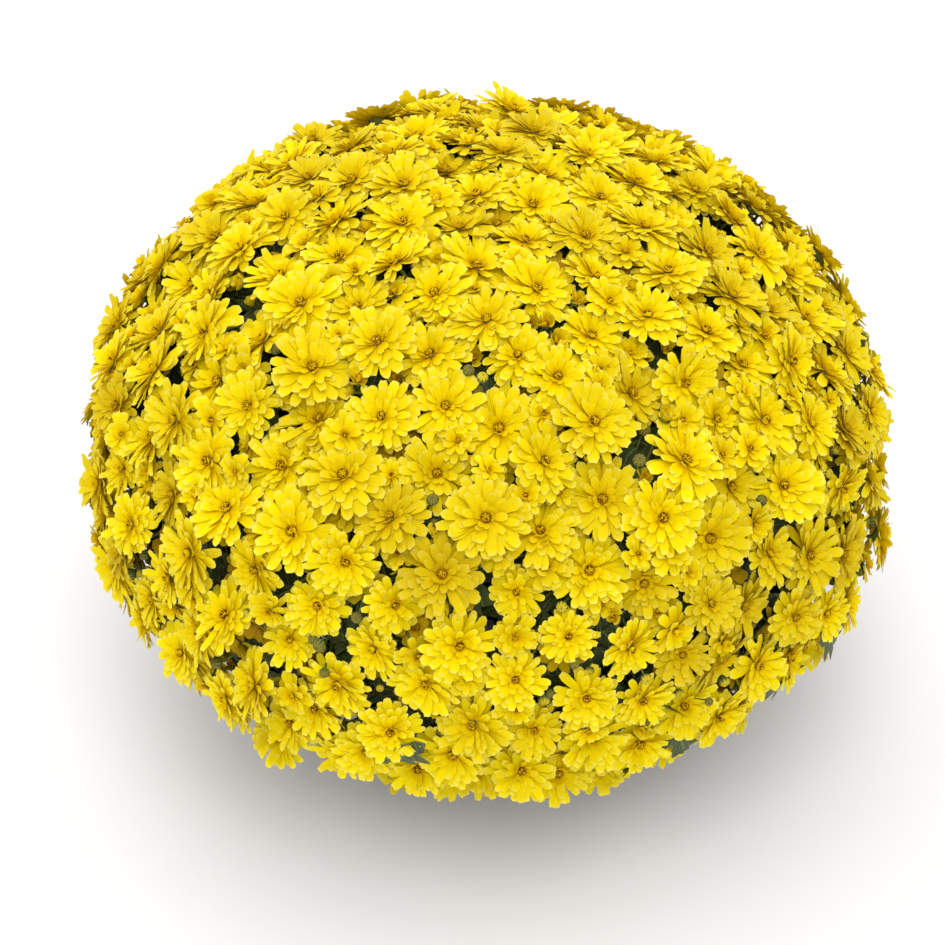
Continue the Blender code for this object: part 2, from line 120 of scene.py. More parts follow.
LEAF_WIDTH = 0.78
LEAF_THICKNESS = 0.0024
LEAF_KEEL = 0.22
LEAF_ARCH = 0.18
LEAF_STALK = 0.75
LEAF_CLEAR = 0.003
LEAF_UNDER_FORK = 0.02
LEAF_HANG_RADIUS = 0.134
LEAF_LOWEST = 0.015
LEAF_TRIES = 150
LEAF_APART = 0.72
BRANCH_APART = 0.36
LEAF_AHEAD = 0.3
LEAF_SPREAD = 0.6
LEAF_TILT = 0.25
LEAF_OUTWARD = 0.5
LOW_LEAVES = (1, 3, 4)
HIGH_LEAVES = (2, 4)
PETIOLE_RADII = (0.0013, 0.0008)

# A bloom's rings of petals, on a bloom of radius 1: count, length, width, distance and height of
# the root, angle above the face and bend on the way in degrees, and cuts along the petal
OPEN_RINGS = (
    (19, 0.72, 0.26, 0.28, 0.000, 13, -16, 3),
    (17, 0.66, 0.25, 0.20, 0.015, 15, -14, 2),
    (14, 0.55, 0.23, 0.15, 0.030, 19, -12, 2),
    (11, 0.42, 0.20, 0.12, 0.045, 28, -6, 2),
    (8, 0.27, 0.15, 0.09, 0.060, 46, 16, 2),
)
SMALL_RINGS = (
    (11, 0.82, 0.42, 0.16, 0.00, 8, -16, 3),
    (9, 0.60, 0.36, 0.13, 0.09, 26, -10, 2),
    (6, 0.36, 0.26, 0.09, 0.14, 50, 20, 2),
)
HALF_OPEN_RINGS = (
    (8, 0.95, 0.60, 0.22, 0.00, 50, 26, 3),
    (6, 0.78, 0.48, 0.15, 0.05, 66, 26, 2),
)
OLDER_RINGS = (
    (11, 0.88, 0.46, 0.12, 0.00, 4, -8, 2),
    (7, 0.62, 0.40, 0.12, 0.06, 22, -8, 2),
)
# Where a petal is cut across, from its root to its tip, and its width there
PETAL_CUTS = {
    3: ((0.0, 0.50), (0.46, 0.88), (0.82, 1.0), (1.0, 0.62)),
    2: ((0.0, 0.44), (0.70, 1.0), (1.0, 0.60)),
}
PETAL_TIP_ROUND = (-0.03, 0.07)  # from a notched tip to a rounded one
PETAL_THICKNESS = 0.016
PETAL_CUP = 0.09
PETAL_TILT = 0.12  # each petal lies over the next one's edge, as shingles do
# How much one petal differs from the next: shares of its ring's length, width and cup, of the way
# round to its neighbour, and the spread of its tilt
PETAL_LENGTHS = (0.80, 1.10)
PETAL_WIDTHS = (0.82, 1.16)
PETAL_CUPS = (0.3, 1.6)
PETAL_TURN_SPREAD = 0.22
PETAL_TILT_SPREAD = 0.12
HEART_DEPTH = 0.08
HEART_RING = 2.0  # the petals' rings run from 0 to 1
BLOOM_SPREAD = (1.07, 1.22)  # petals reach over the neighbours', below the top and on it
BLOOM_VARIETY = (1.8, 1.2)  # sizes differ more than the solids' do, there and there
BLOOM_SINK = 0.12
OPEN_FADE = 0.45  # the most that an open bloom has faded
STALK_INSET = 0.15  # of the bloom's radius, from its face down to its stalk's end
STALK_RADII = (0.0013, 0.0011)
STALK_CURVE = (0.35, 0.40)  # how far a stalk keeps to its fork's and its bloom's axis

# Leaves that hang out between the lowest blooms: azimuth and height in degrees
SKIRT_LEAVES = (
    (-101, -17), (-110, -31), (-66, -29), (-63, -23), (-45, -23), (-41, -22), (-36, -17),
)
SKIRT_LEAF_SHARE = 0.30  # of the other places between the blooms of the skirt
SKIRT_LEAVES_BELOW = -0.30  # the sine of their height
SKIRT_LEAVES_BEHIND = -0.45  # no random ones in front, where the photograph's are given
STALK_START = 0.03  # of the way to its end, so that no two stalks' lower ends share a face
LEAF_FOOT = 0.30  # of a leaf's length, from its middle to its stalk
PETIOLE_REACH = 0.010  # how far a leaf's stalk keeps to its fork's heading, and to the leaf's
BRANCH_PETIOLE_REACH = 0.004
TOP_SINE = 0.35  # above this, blooms close the gaps and leaves stay below

# What grows in a corner between three blooms, by a draw from 0 to 1 that the corner's height
# shifts: a small bloom below the first limit, then a half-open one, an older one, and buds
LOW_SINE = 0.05  # below this, a corner counts as low
TOP_SCALE = 0.86
SIDE_SHIFT = 0.20
LOW_SHIFT = 0.32
SMALL_LIMIT = 0.50
HALF_OPEN_LIMIT = 0.60
OLDER_LIMIT = 0.90
OPENING_MARGIN = 0.018
CORNER_LEAN = 0.22
BUD_SHARES = (0.92, 0.975)
BUD_RADII = (0.0024, 0.0038)
BUD_SPREAD = 0.005
BUD_LEAN = 0.2
BUD_STALK_RADII = (0.0010, 0.0007)
YELLOW_BUDS = 0.35
LEAF_BY_BUDS = 0.95
LEAF_BY_BLOOM = 0.50
# Leaves round the blooms: lengths, and how far out they stand as a share of the dome
HANGING_LENGTHS = (0.040, 0.056)
HANGING_SHARES = (0.99, 1.02)
DEEP_LENGTHS = (0.050, 0.068)
DEEP_SHARES = (0.84, 0.90)
STANDING_LENGTHS = (0.035, 0.052)
STANDING_TIPS = (0.89, 0.95)
# The spread of their headings and of the way that their faces look
HANGING_SPREADS = (0.5, 0.25)
DEEP_SPREAD = 0.2
STANDING_SPREADS = (0.45, 0.6)
HANGING_TURN = (0.7, 0.8)  # outward as it droops, then back to lie along the dome
LEAF_BLADE = 0.010  # thickness at the midrib, on a leaf of length 1
# A bud of radius 1 over its base
BUD_MIDDLE = 0.85
BUD_FLATNESS = 0.9

# The pot's and the soil's surface, finer than the solids'
POT_STEPS = 96
FOOT_RISE = 0.0012  # the base stands clear of the surface, inside its foot ring
FOOT_WIDTH = 0.008
EDGE_BEVEL = 0.001
LIP_ROUND = 0.0012
MOUTH_BEVEL = 0.0008
FLOOR_BEVEL = 0.002
SOIL_STEPS = 80
SOIL_LIFT = 0.0003  # clear of the floor
SOIL_BANK_RINGS = 6
SOIL_FLAT_RINGS = 11
SOIL_EDGE = 0.006  # kept plain along the wall
SOIL_GRAIN = (130, 0.0016)  # how fine and how high its unevenness is
STEM_BANK = (0.010, 0.0022)  # how wide and how high the soil lies round a stem
CRUMBS = 260
CRUMB_RADII = (0.0012, 0.0032)
CRUMB_SHAPES = (0.6, 1.2)


def linear(value):
    return value / 12.92 if value <= 0.04045 else ((value + 0.055) / 1.055) ** 2.4


def colour(code):
    return (*(linear(int(code[i : i + 2], 16) / 255) for i in (0, 2, 4)), 1)


def set_inputs(tree, made, inputs):
    """Sets a node's inputs. Each is a value, or what feeds it: a socket, or a node's first one."""
    for name, value in inputs.items():
        if isinstance(value, bpy.types.Node):
            value = next(socket for socket in value.outputs if socket.enabled)
        if isinstance(value, bpy.types.NodeSocket):
            tree.links.new(value, made.inputs[name])
        else:
            made.inputs[name].default_value = value


def add_node(tree, kind, inputs=None, stops=(), **settings):
    """Adds a node with its settings, its inputs and, for a colour ramp, its stops.

    A mix of colours takes its share as input 0 and the colours as inputs 6 and 7.
    """
    made = tree.nodes.new("ShaderNode" + kind)
    for name, value in settings.items():
        setattr(made, name, value)
    set_inputs(tree, made, inputs or {})
    for k, (place, code) in enumerate(stops):
        points = made.color_ramp.elements
        point = points[k] if k < 2 else points.new(place)
        point.position = place
        point.color = colour(code)
    return made


def start_material(name):
    """A new material, its node tree and its surface's shader."""
    made = bpy.data.materials.new(name)
    made.use_nodes = True
    return made, made.node_tree, made.node_tree.nodes["Principled BSDF"]


def add_object(name, data):
    obj = bpy.data.objects.new(name, data)
    bpy.context.scene.collection.objects.link(obj)
    return obj


def new_mesh(name, bm):
    mesh = bpy.data.meshes.new(name)
    bm.to_mesh(mesh)
    bm.free()
    return mesh


def start_mesh():
    """A bmesh with the layers that the petals, leaves and stalks of every piece carry."""
    bm = bmesh.new()
    bm.loops.layers.uv.new("blade")
    for name in ("ring", "tint", "fade"):
        bm.verts.layers.float.new(name)
    return bm


def join(target, source, place, finish=0, **values):
    """Adds a template's mesh, moved by a matrix, with its material and its points' values."""
    before = len(target.verts)
    faces_before = len(target.faces)
    target.from_mesh(source)
    target.verts.ensure_lookup_table()
    target.faces.ensure_lookup_table()
    made = target.verts[before:]
    bmesh.ops.transform(target, matrix=place, verts=made)
    for face in target.faces[faces_before:]:
        face.material_index = finish
    for name, value in values.items():
        layer = target.verts.layers.float[name]
        for vert in made:
            vert[layer] = value
    return made


def finished_piece(name, bm, materials, slot, *nodes):
    """Makes a piece of the part from a bmesh, in place of the named solids."""
    for face in bm.faces:
        face.smooth = True
    mesh = new_mesh(name, bm)
    for made_of in materials:
        mesh.materials.append(made_of)
    obj = add_object(name, mesh)
    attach(obj, "root")
    if nodes:
        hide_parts(*nodes)
    return obj


# Where everything stands: the same code and draws as the solids


def on_dome(direction, share=1.0):
    """The point of the dome, shrunk by share, that a unit direction gives."""
    depth = min(1.0, max(0.0, -direction[2] / SKIRT_DEPTH))
    radius = DOME_RADIUS * share * (1 + SKIRT_FULLNESS * math.sin(math.pi * depth))
    height = DOME_MIDDLE + direction[2] * DOME_HALF_HEIGHT * share
    return Vector((direction[0] * radius, direction[1] * radius, height))


def dome_normal(direction):
    x, y, z = direction
    return Vector((x / DOME_RADIUS, y / DOME_RADIUS, z / DOME_HALF_HEIGHT)).normalized()


def direction_at(azimuth, height):
    """A unit direction from an azimuth in degrees and the sine of its height."""
    flat = math.sqrt(max(0.0, 1 - height * height))
    turn = math.radians(azimuth)
    return Vector((flat * math.cos(turn), flat * math.sin(turn), height))


def direction_in_degrees(azimuth, height):
    return direction_at(azimuth, math.sin(math.radians(height)))


def dome_heights(shares, lowest, steps):
    """Sines of height above which each share of the dome down to the lowest lies, from the top."""
    sines = np.linspace(1, lowest, steps + 1)
    area = np.sqrt((1 - sines**2) / DOME_RADIUS**2 + sines**2 / DOME_HALF_HEIGHT**2)
    passed = np.cumsum(area)
    return np.interp(shares, passed / passed[-1], sines)


def whole_area():
    """A short formula for the ellipsoid's surface, right to about one part in a hundred."""
    power = 1.6075
    flat = DOME_RADIUS ** (2 * power)
    tall = (DOME_RADIUS * DOME_HALF_HEIGHT) ** power
    return 4 * math.pi * ((flat + 2 * tall) / 3) ** (1 / power)


def bloom_directions():
    """Directions spread evenly over the whole dome: a spiral, jittered, then pushed apart."""
    count = round(whole_area() / (BLOOM_PITCH**2 * math.sqrt(3) / 2))
    rng = np.random.default_rng(SEED)
    scale = np.array([DOME_RADIUS, DOME_RADIUS, DOME_HALF_HEIGHT])
    sines = dome_heights((np.arange(count) + 0.5) / count, -1, 4000)
    turn = np.arange(count) * math.pi * (3 - math.sqrt(5))
    flat = np.sqrt(1 - sines**2)
    places = np.stack([flat * np.cos(turn), flat * np.sin(turn), sines], 1) * scale
    places += rng.normal(0, BLOOM_JITTER * BLOOM_PITCH, places.shape)
    bare = np.array([direction_in_degrees(turn, up) for turn, up, _ in OPENINGS]) * scale
    reach = np.array([BLOOM_PITCH / 2 + half for _, _, half in OPENINGS])
    for _ in range(SPREAD_ROUNDS):
        apart = places[:, None] - places[None]
        far = np.linalg.norm(apart, axis=2) + np.eye(count)
        push = np.clip(1 - far / (SPREAD_REACH * BLOOM_PITCH), 0, None) * (1 - np.eye(count))
        moved = (apart / far[..., None] * push[..., None]).sum(1)
        places = places + SPREAD_STEP * BLOOM_PITCH * moved
        apart = places[:, None] - bare[None]
        far = np.linalg.norm(apart, axis=2)
        push = np.clip(reach[None] - far, 0, None)
        places = places + OPENING_STEP * (apart / far[..., None] * push[..., None]).sum(1)
        unit = places / scale
        unit /= np.linalg.norm(unit, axis=1)[:, None]
        places = unit * scale
    return [Vector(direction) for direction in unit]


def spray_directions(skirt):
    """The middle of each spray: one on top, then rings of sprays down to the skirt."""
    found = []
    for count, sprays_above, offset in SPRAY_RINGS:
        sine = float(dome_heights(sprays_above / SPRAY_COUNT, skirt, 2000))
        for k in range(count):
            found.append(direction_at(FIRST_AZIMUTH + offset + 360 * k / count, sine))
    return found


def nearest_spray(direction, sprays):
    place = on_dome(direction)
    far = [(on_dome(spray) - place).length for spray in sprays]
    return far.index(min(far))


def spray_cutting(number):
    """The cutting that carries a spray: the one whose sector the spray's middle lies in."""
    first = 0
    for count, _, _ in SPRAY_RINGS:
        if number < first + count:
            return (number - first) * CUTTINGS // count
        first += count
    return 0


def stem_foot(number, height):
    azimuth = math.radians(FIRST_AZIMUTH + 360 * number / CUTTINGS)
    return Vector((STEM_CIRCLE * math.cos(azimuth), STEM_CIRCLE * math.sin(azimuth), height))


def between_blooms(directions, skirt):
    """The directions above the skirt where three blooms meet: their hull's faces."""
    hull = bmesh.new()
    for direction in directions:
        hull.verts.new(direction)
    bmesh.ops.convex_hull(hull, input=hull.verts)
    hull.normal_update()
    found = [face.normal.copy() for face in hull.faces if face.normal.z > skirt]
    hull.free()
    found.sort(key=lambda direction: (round(direction.z, 4), round(direction.x, 4)))
    return found


# Shapes that repeat, each made once on its own and joined in many times


def blade_mesh(cuts, place_point):
    """A thin closed blade: a grid of two columns, doubled, and welded round its rim."""
    bm = bmesh.new()
    bm.loops.layers.uv.new("blade")
    bmesh.ops.create_grid(bm, x_segments=cuts, y_segments=2, size=0.5, calc_uvs=True)
    for vert in bm.verts:
        vert.co = place_point(round((vert.co.x + 0.5) * cuts), round(vert.co.y * 2))
    # each quad is cut from its inner corner, so that no cut lies on both faces of the blade
    for face in list(bm.faces):
        ring = list(face.verts)
        inner = next(k for k, vert in enumerate(ring) if not vert.is_boundary)
        bmesh.utils.face_split(face, ring[inner], ring[inner - 2])
    for edge in bm.edges:
        edge.smooth = not edge.is_boundary
    under = bmesh.ops.duplicate(bm, geom=list(bm.faces))["geom"]
    lower = [item for item in under if isinstance(item, bmesh.types.BMFace)]
    bmesh.ops.reverse_faces(bm, faces=lower)
    return bm, {vert for face in lower for vert in face.verts if not vert.is_boundary}


def petal(length, width, cuts, pitch, bend, cup, tip_round):
    """One petal from its root out along X: narrow at the root, rounded and cupped at its tip."""
    stations = PETAL_CUTS[cuts]

    def place_point(step, side):
        along, share = stations[step]
        if side and step == cuts:
            along -= tip_round
        slope = pitch + bend * along / 2
        out = length * along
        rise = cup * width * abs(side) * share
        x = out * math.cos(slope) - rise * math.sin(slope)
        z = out * math.sin(slope) + rise * math.cos(slope)
        return Vector((x, side * width * share / 2, z))

    bm, inner = blade_mesh(cuts, place_point)
    for vert in inner:
        vert.co.z -= PETAL_THICKNESS
    bmesh.ops.remove_doubles(bm, verts=bm.verts, dist=1e-5)
    return new_mesh("petal", bm)


def bloom(seed, rings, lean, heart, heart_height):
    """A bloom of radius 1 with its face up: rings of petals, each turned by its own draw."""
    draw = np.random.default_rng(seed)
    bm = start_mesh()
    for number, (count, length, width, root, height, pitch, bend, cuts) in enumerate(rings):
        first = draw.uniform(0, math.tau)
        for k in range(count):
            blade = petal(
                length * draw.uniform(*PETAL_LENGTHS),
                width * draw.uniform(*PETAL_WIDTHS),
                cuts,
                math.radians(pitch + draw.normal(0, lean)),
                math.radians(bend + draw.normal(0, 2 * lean)),
                PETAL_CUP * draw.uniform(*PETAL_CUPS),
                draw.uniform(*PETAL_TIP_ROUND),
            )
            turn = first + (k + draw.normal(0, PETAL_TURN_SPREAD)) * math.tau / count
            place = (
                Matrix.Rotation(turn, 4, "Z")
                @ Matrix.Translation((root, 0, height))
                @ Matrix.Rotation(PETAL_TILT + draw.normal(0, PETAL_TILT_SPREAD), 4, "X")
            )
            depth = number / max(1, len(rings) - 1)
            join(bm, blade, place, ring=depth, tint=draw.uniform(0, 1))
            bpy.data.meshes.remove(blade)
    if heart:
        made = bmesh.ops.create_cone(
            bm, segments=7, radius1=heart, radius2=0.5 * heart, depth=HEART_DEPTH, cap_ends=True,
            matrix=Matrix.Translation((0, 0, heart_height)),
        )
        ring = bm.verts.layers.float["ring"]
        for vert in made["verts"]:
            vert[ring] = HEART_RING
    return new_mesh("bloom", bm)


def tube_mesh(sides, steps):
    """A closed tube of radius 1 from 0 to 1 along Z, cut across so that it can bend."""
    bm = bmesh.new()
    bmesh.ops.create_cone(
        bm, segments=sides, radius1=1, radius2=1, depth=1, cap_ends=True,
        matrix=Matrix.Translation((0, 0, 0.5)),
    )
    for k in range(1, steps):
        everything = list(bm.verts) + list(bm.edges) + list(bm.faces)
        bmesh.ops.bisect_plane(bm, geom=everything, plane_co=(0, 0, k / steps), plane_no=(0, 0, 1))
    return new_mesh("tube", bm)


def bend(start, towards, back, end, t):
    """A point and the heading at share t along a cubic curve."""
    s = 1 - t
    point = start * s**3 + towards * (3 * t * s * s) + back * (3 * t * t * s) + end * t**3
    heading = (towards - start) * (s * s) + (back - towards) * (2 * t * s) + (end - back) * (t * t)
    return point, heading.normalized()


def lay_tube(bm, source, curve, radii, finish=0, **values):
    """Joins in a tube and bends it along a cubic curve, tapering between two radii."""
    for vert in join(bm, source, Matrix.Identity(4), finish, **values):
        point, heading = bend(*curve, vert.co.z)
        side = heading.orthogonal().normalized()
        up = heading.cross(side)
        radius = radii[0] + (radii[1] - radii[0]) * vert.co.z
        vert.co = point + (side * vert.co.x + up * vert.co.y) * radius


# The leaf: places on its midrib and on its edge, from the stalk to the tip, on a blade of length 1
LEAF_STATIONS = (
    (-0.31, -0.315, 0.03),
    (-0.26, -0.320, 0.15),
    (-0.19, -0.180, 0.17),
    (-0.12, -0.110, 0.12),
    (-0.05, -0.040, 0.26),
    (0.02, 0.040, 0.32),
    (0.09, 0.090, 0.25),
    (0.14, 0.130, 0.14),
    (0.21, 0.240, 0.20),
    (0.28, 0.340, 0.22),
    (0.34, 0.360, 0.14),
    (0.39, 0.385, 0.08),
    (0.45, 0.450, 0.07),
    (0.50, 0.490, 0.015),
)
DEEP_LEAF_STATIONS = [LEAF_STATIONS[k] for k in (1, 3, 5, 7, 9, 13)]


def leaf_mesh(stations, wave):
    """A lobed blade of length 1, tip along X and face up along Z, keeled, arched and waved."""
    def place_point(step, side):
        middle, edge, across = stations[step]
        x = edge if side else middle
        y = side * across
        ripple = wave * math.sin(9 * x + 2 * side) if side else 0
        return Vector((x, y, LEAF_KEEL * abs(y) - 2 * LEAF_ARCH * x * x + ripple))

    bm, inner = blade_mesh(len(stations) - 1, place_point)
    for vert in inner:
        vert.co.z -= LEAF_BLADE
    bmesh.ops.remove_doubles(bm, verts=bm.verts, dist=1e-5)
    return new_mesh("leaf", bm)


def bud_mesh():
    """A round bud of radius 1 on its base, flattened on top."""
    bm = start_mesh()
    made = bmesh.ops.create_uvsphere(
        bm, u_segments=9, v_segments=6, radius=1, calc_uvs=True,
        matrix=Matrix.Translation((0, 0, BUD_MIDDLE)) @ Matrix.Diagonal((1, 1, BUD_FLATNESS, 1)),
    )
    ring = bm.verts.layers.float["ring"]
    for vert in made["verts"]:
        vert[ring] = vert.co.z / (BUD_MIDDLE + BUD_FLATNESS)
    return new_mesh("bud", bm)


def calyx_mesh():
    """The green cup under a bloom of radius 1."""
    bm = start_mesh()
    bmesh.ops.create_cone(
        bm, segments=6, radius1=0.05, radius2=0.34, depth=0.20, cap_ends=True,
        matrix=Matrix.Translation((0, 0, -0.08)),
    )
    return new_mesh("calyx", bm)


def turn_to(axis, spin):
    """A rotation that turns by spin about Z and then puts Z along the axis."""
    return axis.to_track_quat("Z", "Y").to_matrix().to_4x4() @ Matrix.Rotation(spin, 4, "Z")


def frame_of(place, along, face_up, scale):
    """A placing matrix from an origin, the X and Z directions and a scale."""
    across = face_up.cross(along).normalized()
    face_up = along.cross(across)
    turn = Matrix((along, across, face_up)).transposed().to_4x4()
    return Matrix.Translation(place) @ turn @ Matrix.Scale(scale, 4)


# Materials


def petal_tissue():
    """Living petal: a matt, finely grooved skin, deep yellow at the root and pale at the tip."""
    made, tree, shader = start_material("chrysanthemum petal tissue")
    uv = add_node(tree, "UVMap", uv_map="blade")
    split = add_node(tree, "SeparateXYZ", {"Vector": uv})
    outer = add_node(
        tree, "ValToRGB", {"Fac": split.outputs["X"]},
        stops=((0.0, "EFC600"), (0.25, "F4D400"), (0.42, "F4D900"), (0.72, "F4DC0C"), (1.0, "F6E34E")),
    )
    # the inner rings: deeper yellow at the root and brown there, which is partly their own colour and
    # partly painted shade between the inner florets
    inner = add_node(
        tree, "ValToRGB", {"Fac": split.outputs["X"]},
        stops=((0.0, "B07C04"), (0.16, "E6BA00"), (0.40, "F3D200"), (1.0, "F4DA00")),
    )
    ring = add_node(tree, "Attribute", attribute_name="ring")
    fade = add_node(tree, "Attribute", attribute_name="fade")
    tint = add_node(tree, "Attribute", attribute_name="tint")
    innermost = add_node(
        tree, "MapRange", {"Value": ring.outputs["Fac"], "From Min": 0.60, "From Max": 1.0}
    )
    by_ring = add_node(tree, "Mix", {0: innermost, 6: outer, 7: inner}, data_type="RGBA")
    # the heart: unopened golden florets 0.9 mm across, with dark brown flecks between them that are painted
    # shade in the gaps between the florets
    heart = add_node(tree, "Math", {0: ring.outputs["Fac"], 1: 1.5}, operation="GREATER_THAN")
    place = add_node(tree, "TexCoord")
    florets = add_node(tree, "TexVoronoi", {"Vector": place.outputs["Object"], "Scale": 1100.0})
    florets_and_painted_gaps = add_node(tree, "ValToRGB", {"Fac": florets}, stops=((0.40, "EABC06"), (0.56, "5A3408")))
    with_heart = add_node(tree, "Mix", {0: heart, 6: by_ring, 7: florets_and_painted_gaps}, data_type="RGBA")
    # fade: blooms fade to a duller ochre, a little at random and most on the older blooms of the lower
    # layer, where the ochre is partly their age and partly painted shade from the blooms above them
    faded_and_painted_shade = add_node(
        tree, "Mix", {0: fade.outputs["Fac"], 6: with_heart, 7: colour("A87E12")}, data_type="RGBA"
    )
    lighter = add_node(tree, "MapRange", {"Value": tint.outputs["Fac"], "To Min": 0.92, "To Max": 1.03})
    toned = add_node(tree, "HueSaturation", {"Value": lighter, "Color": faded_and_painted_shade})
    # five shallow grooves along a petal 5 mm wide
    grooves = add_node(tree, "Math", {0: split.outputs["Y"], 1: 5 * math.tau}, operation="MULTIPLY")
    wave = add_node(tree, "Math", {0: grooves}, operation="SINE")
    bump = add_node(tree, "Bump", {"Height": wave, "Strength": 0.15, "Distance": 0.0002})
    set_inputs(tree, shader, {
        "Base Color": toned, "Normal": bump,
        "Roughness": 0.6, "Specular IOR Level": 0.03,
    })
    return made


def leaf_tissue():
    """Leaf blade: dark green, a little waxy, with a pale midrib and side veins."""
    made, tree, shader = start_material("chrysanthemum leaf tissue")
    uv = add_node(tree, "UVMap", uv_map="blade")
    split = add_node(tree, "SeparateXYZ", {"Vector": uv})
    off_rib = add_node(tree, "Math", {0: split.outputs["Y"], 1: 0.5}, operation="SUBTRACT")
    across = add_node(tree, "Math", {0: off_rib}, operation="ABSOLUTE")
    # side veins run forward from the midrib, seven to a blade of 50 mm
    forward = add_node(
        tree, "Math", {0: across, 1: -0.55, 2: split.outputs["X"]}, operation="MULTIPLY_ADD"
    )
    seven = add_node(tree, "Math", {0: forward, 1: 7.0}, operation="MULTIPLY")
    fold = add_node(tree, "Math", {0: seven, 1: 0.5}, operation="PINGPONG")
    side_vein = add_node(tree, "MapRange", {"Value": fold, "From Max": 0.07, "To Min": 1.0, "To Max": 0.0})
    midrib = add_node(tree, "MapRange", {"Value": across, "From Max": 0.05, "To Min": 1.0, "To Max": 0.0})
    veins = add_node(tree, "Math", {0: side_vein, 1: midrib}, operation="MAXIMUM")
    place = add_node(tree, "TexCoord")
    # mottle in patches about 11 mm wide
    mottle = add_node(
        tree, "TexNoise",
        {"Vector": place.outputs["Object"], "Scale": 90.0, "Detail": 3.0, "Roughness": 0.6},
    )
    green = add_node(tree, "ValToRGB", {"Fac": mottle}, stops=((0.30, "2A3816"), (0.70, "465424")))
    veined = add_node(tree, "Mix", {0: veins, 6: green, 7: colour("70803E")}, data_type="RGBA")
    bump = add_node(tree, "Bump", {"Height": veins, "Strength": 0.4, "Distance": 0.0004}, invert=True)
    set_inputs(tree, shader, {
        "Base Color": veined, "Normal": bump,
        "Roughness": 0.6, "Specular IOR Level": 0.25,
    })
    return made


def stalk_tissue():
    """Green stalk and bud: matt, ribbed green that turns olive and brown in patches."""
    made, tree, shader = start_material("green stalk and bud tissue")
    place = add_node(tree, "TexCoord")
    # patches about 6 mm long
    patches = add_node(
        tree, "TexNoise",
        {"Vector": place.outputs["Object"], "Scale": 160.0, "Detail": 3.0, "Roughness": 0.6},
    )
    green = add_node(
        tree, "ValToRGB", {"Fac": patches},
        stops=((0.30, "465A22"), (0.55, "6A7830"), (0.75, "7A6C38")),
    )
    ring = add_node(tree, "Attribute", attribute_name="ring")
    fade = add_node(tree, "Attribute", attribute_name="fade")
    # a bud's top: brown where it is tight, yellow where the petals show
    top = add_node(
        tree, "Mix", {0: fade.outputs["Fac"], 6: colour("7C7028"), 7: colour("D8BE20")}, data_type="RGBA"
    )
    on_top = add_node(
        tree, "MapRange", {"Value": ring.outputs["Fac"], "From Min": 0.55, "From Max": 0.80}
    )
    mixed = add_node(tree, "Mix", {0: on_top, 6: green, 7: top}, data_type="RGBA")
    # a bud's sepals: nine dark seams between them, which close over its top
    uv = add_node(tree, "UVMap", uv_map="blade")
    split = add_node(tree, "SeparateXYZ", {"Vector": uv})
    nine = add_node(tree, "Math", {0: split.outputs["X"], 1: 9.0}, operation="MULTIPLY")
    fold = add_node(tree, "Math", {0: nine, 1: 0.5}, operation="PINGPONG")
    seam = add_node(tree, "MapRange", {"Value": fold, "From Min": 0.30, "From Max": 0.48, "To Max": 0.75})
    seamed = add_node(tree, "Mix", {0: seam, 6: mixed, 7: colour("26260E")}, data_type="RGBA")
    bump = add_node(tree, "Bump", {"Height": patches, "Strength": 0.3, "Distance": 0.0003})
    set_inputs(tree, shader, {
        "Base Color": seamed, "Normal": bump,
        "Roughness": 0.75, "Specular IOR Level": 0.12,
    })
    return made


def stem_bark():
    """Half-woody stem: grey-brown bark with fine lengthways cracks, greener towards the branches."""
    made, tree, shader = start_material("chrysanthemum stem bark")
    place = add_node(tree, "TexCoord")
    drawn = add_node(tree, "Mapping", {"Vector": place.outputs["Object"], "Scale": (1.0, 1.0, 0.15)})
    # cracks about 1.1 mm apart, coarser than real ones so that they show
    cracks = add_node(
        tree, "TexNoise", {"Vector": drawn, "Scale": 900.0, "Detail": 4.0, "Roughness": 0.7}
    )
    bark = add_node(tree, "ValToRGB", {"Fac": cracks}, stops=((0.35, "4A3C28"), (0.60, "76664A")))
    green = add_node(tree, "ValToRGB", {"Fac": cracks}, stops=((0.35, "44522A"), (0.65, "66703C")))
    height = add_node(tree, "SeparateXYZ", {"Vector": place.outputs["Object"]})
    aged = add_node(
        tree, "MapRange",
        {"Value": height.outputs["Z"], "From Min": SOIL_TOP, "From Max": STEM_FORK[1] + 0.03},
    )
    mixed = add_node(tree, "Mix", {0: aged, 6: bark, 7: green}, data_type="RGBA")
    bump = add_node(tree, "Bump", {"Height": cracks, "Strength": 0.5, "Distance": 0.0005})
    set_inputs(tree, shader, {"Base Color": mixed, "Normal": bump, "Roughness": 0.75})
    return made


def moulded_polypropylene():
    """Injection-moulded polypropylene, black: satin, faintly dusty, with a fine moulded grain."""
    made, tree, shader = start_material("moulded black polypropylene")
    place = add_node(tree, "TexCoord")
    # dust in patches about 36 mm wide
    dust = add_node(
        tree, "TexNoise",
        {"Vector": place.outputs["Object"], "Scale": 28.0, "Detail": 5.0, "Roughness": 0.65},
    )
    black = add_node(tree, "ValToRGB", {"Fac": dust}, stops=((0.40, "1B1C1E"), (0.75, "302E2B")))
    satin = add_node(tree, "MapRange", {"Value": dust, "To Min": 0.36, "To Max": 0.58})
    # grain about 0.8 mm, coarser than the mould's own so that it shows
    grain = add_node(
        tree, "TexNoise",
        {"Vector": place.outputs["Object"], "Scale": 1200.0, "Detail": 2.0, "Roughness": 0.5},
    )
    bump = add_node(tree, "Bump", {"Height": grain, "Strength": 0.12, "Distance": 0.0003})
    set_inputs(tree, shader, {"Base Color": black, "Normal": bump, "Roughness": satin, "IOR": 1.49})
    return made


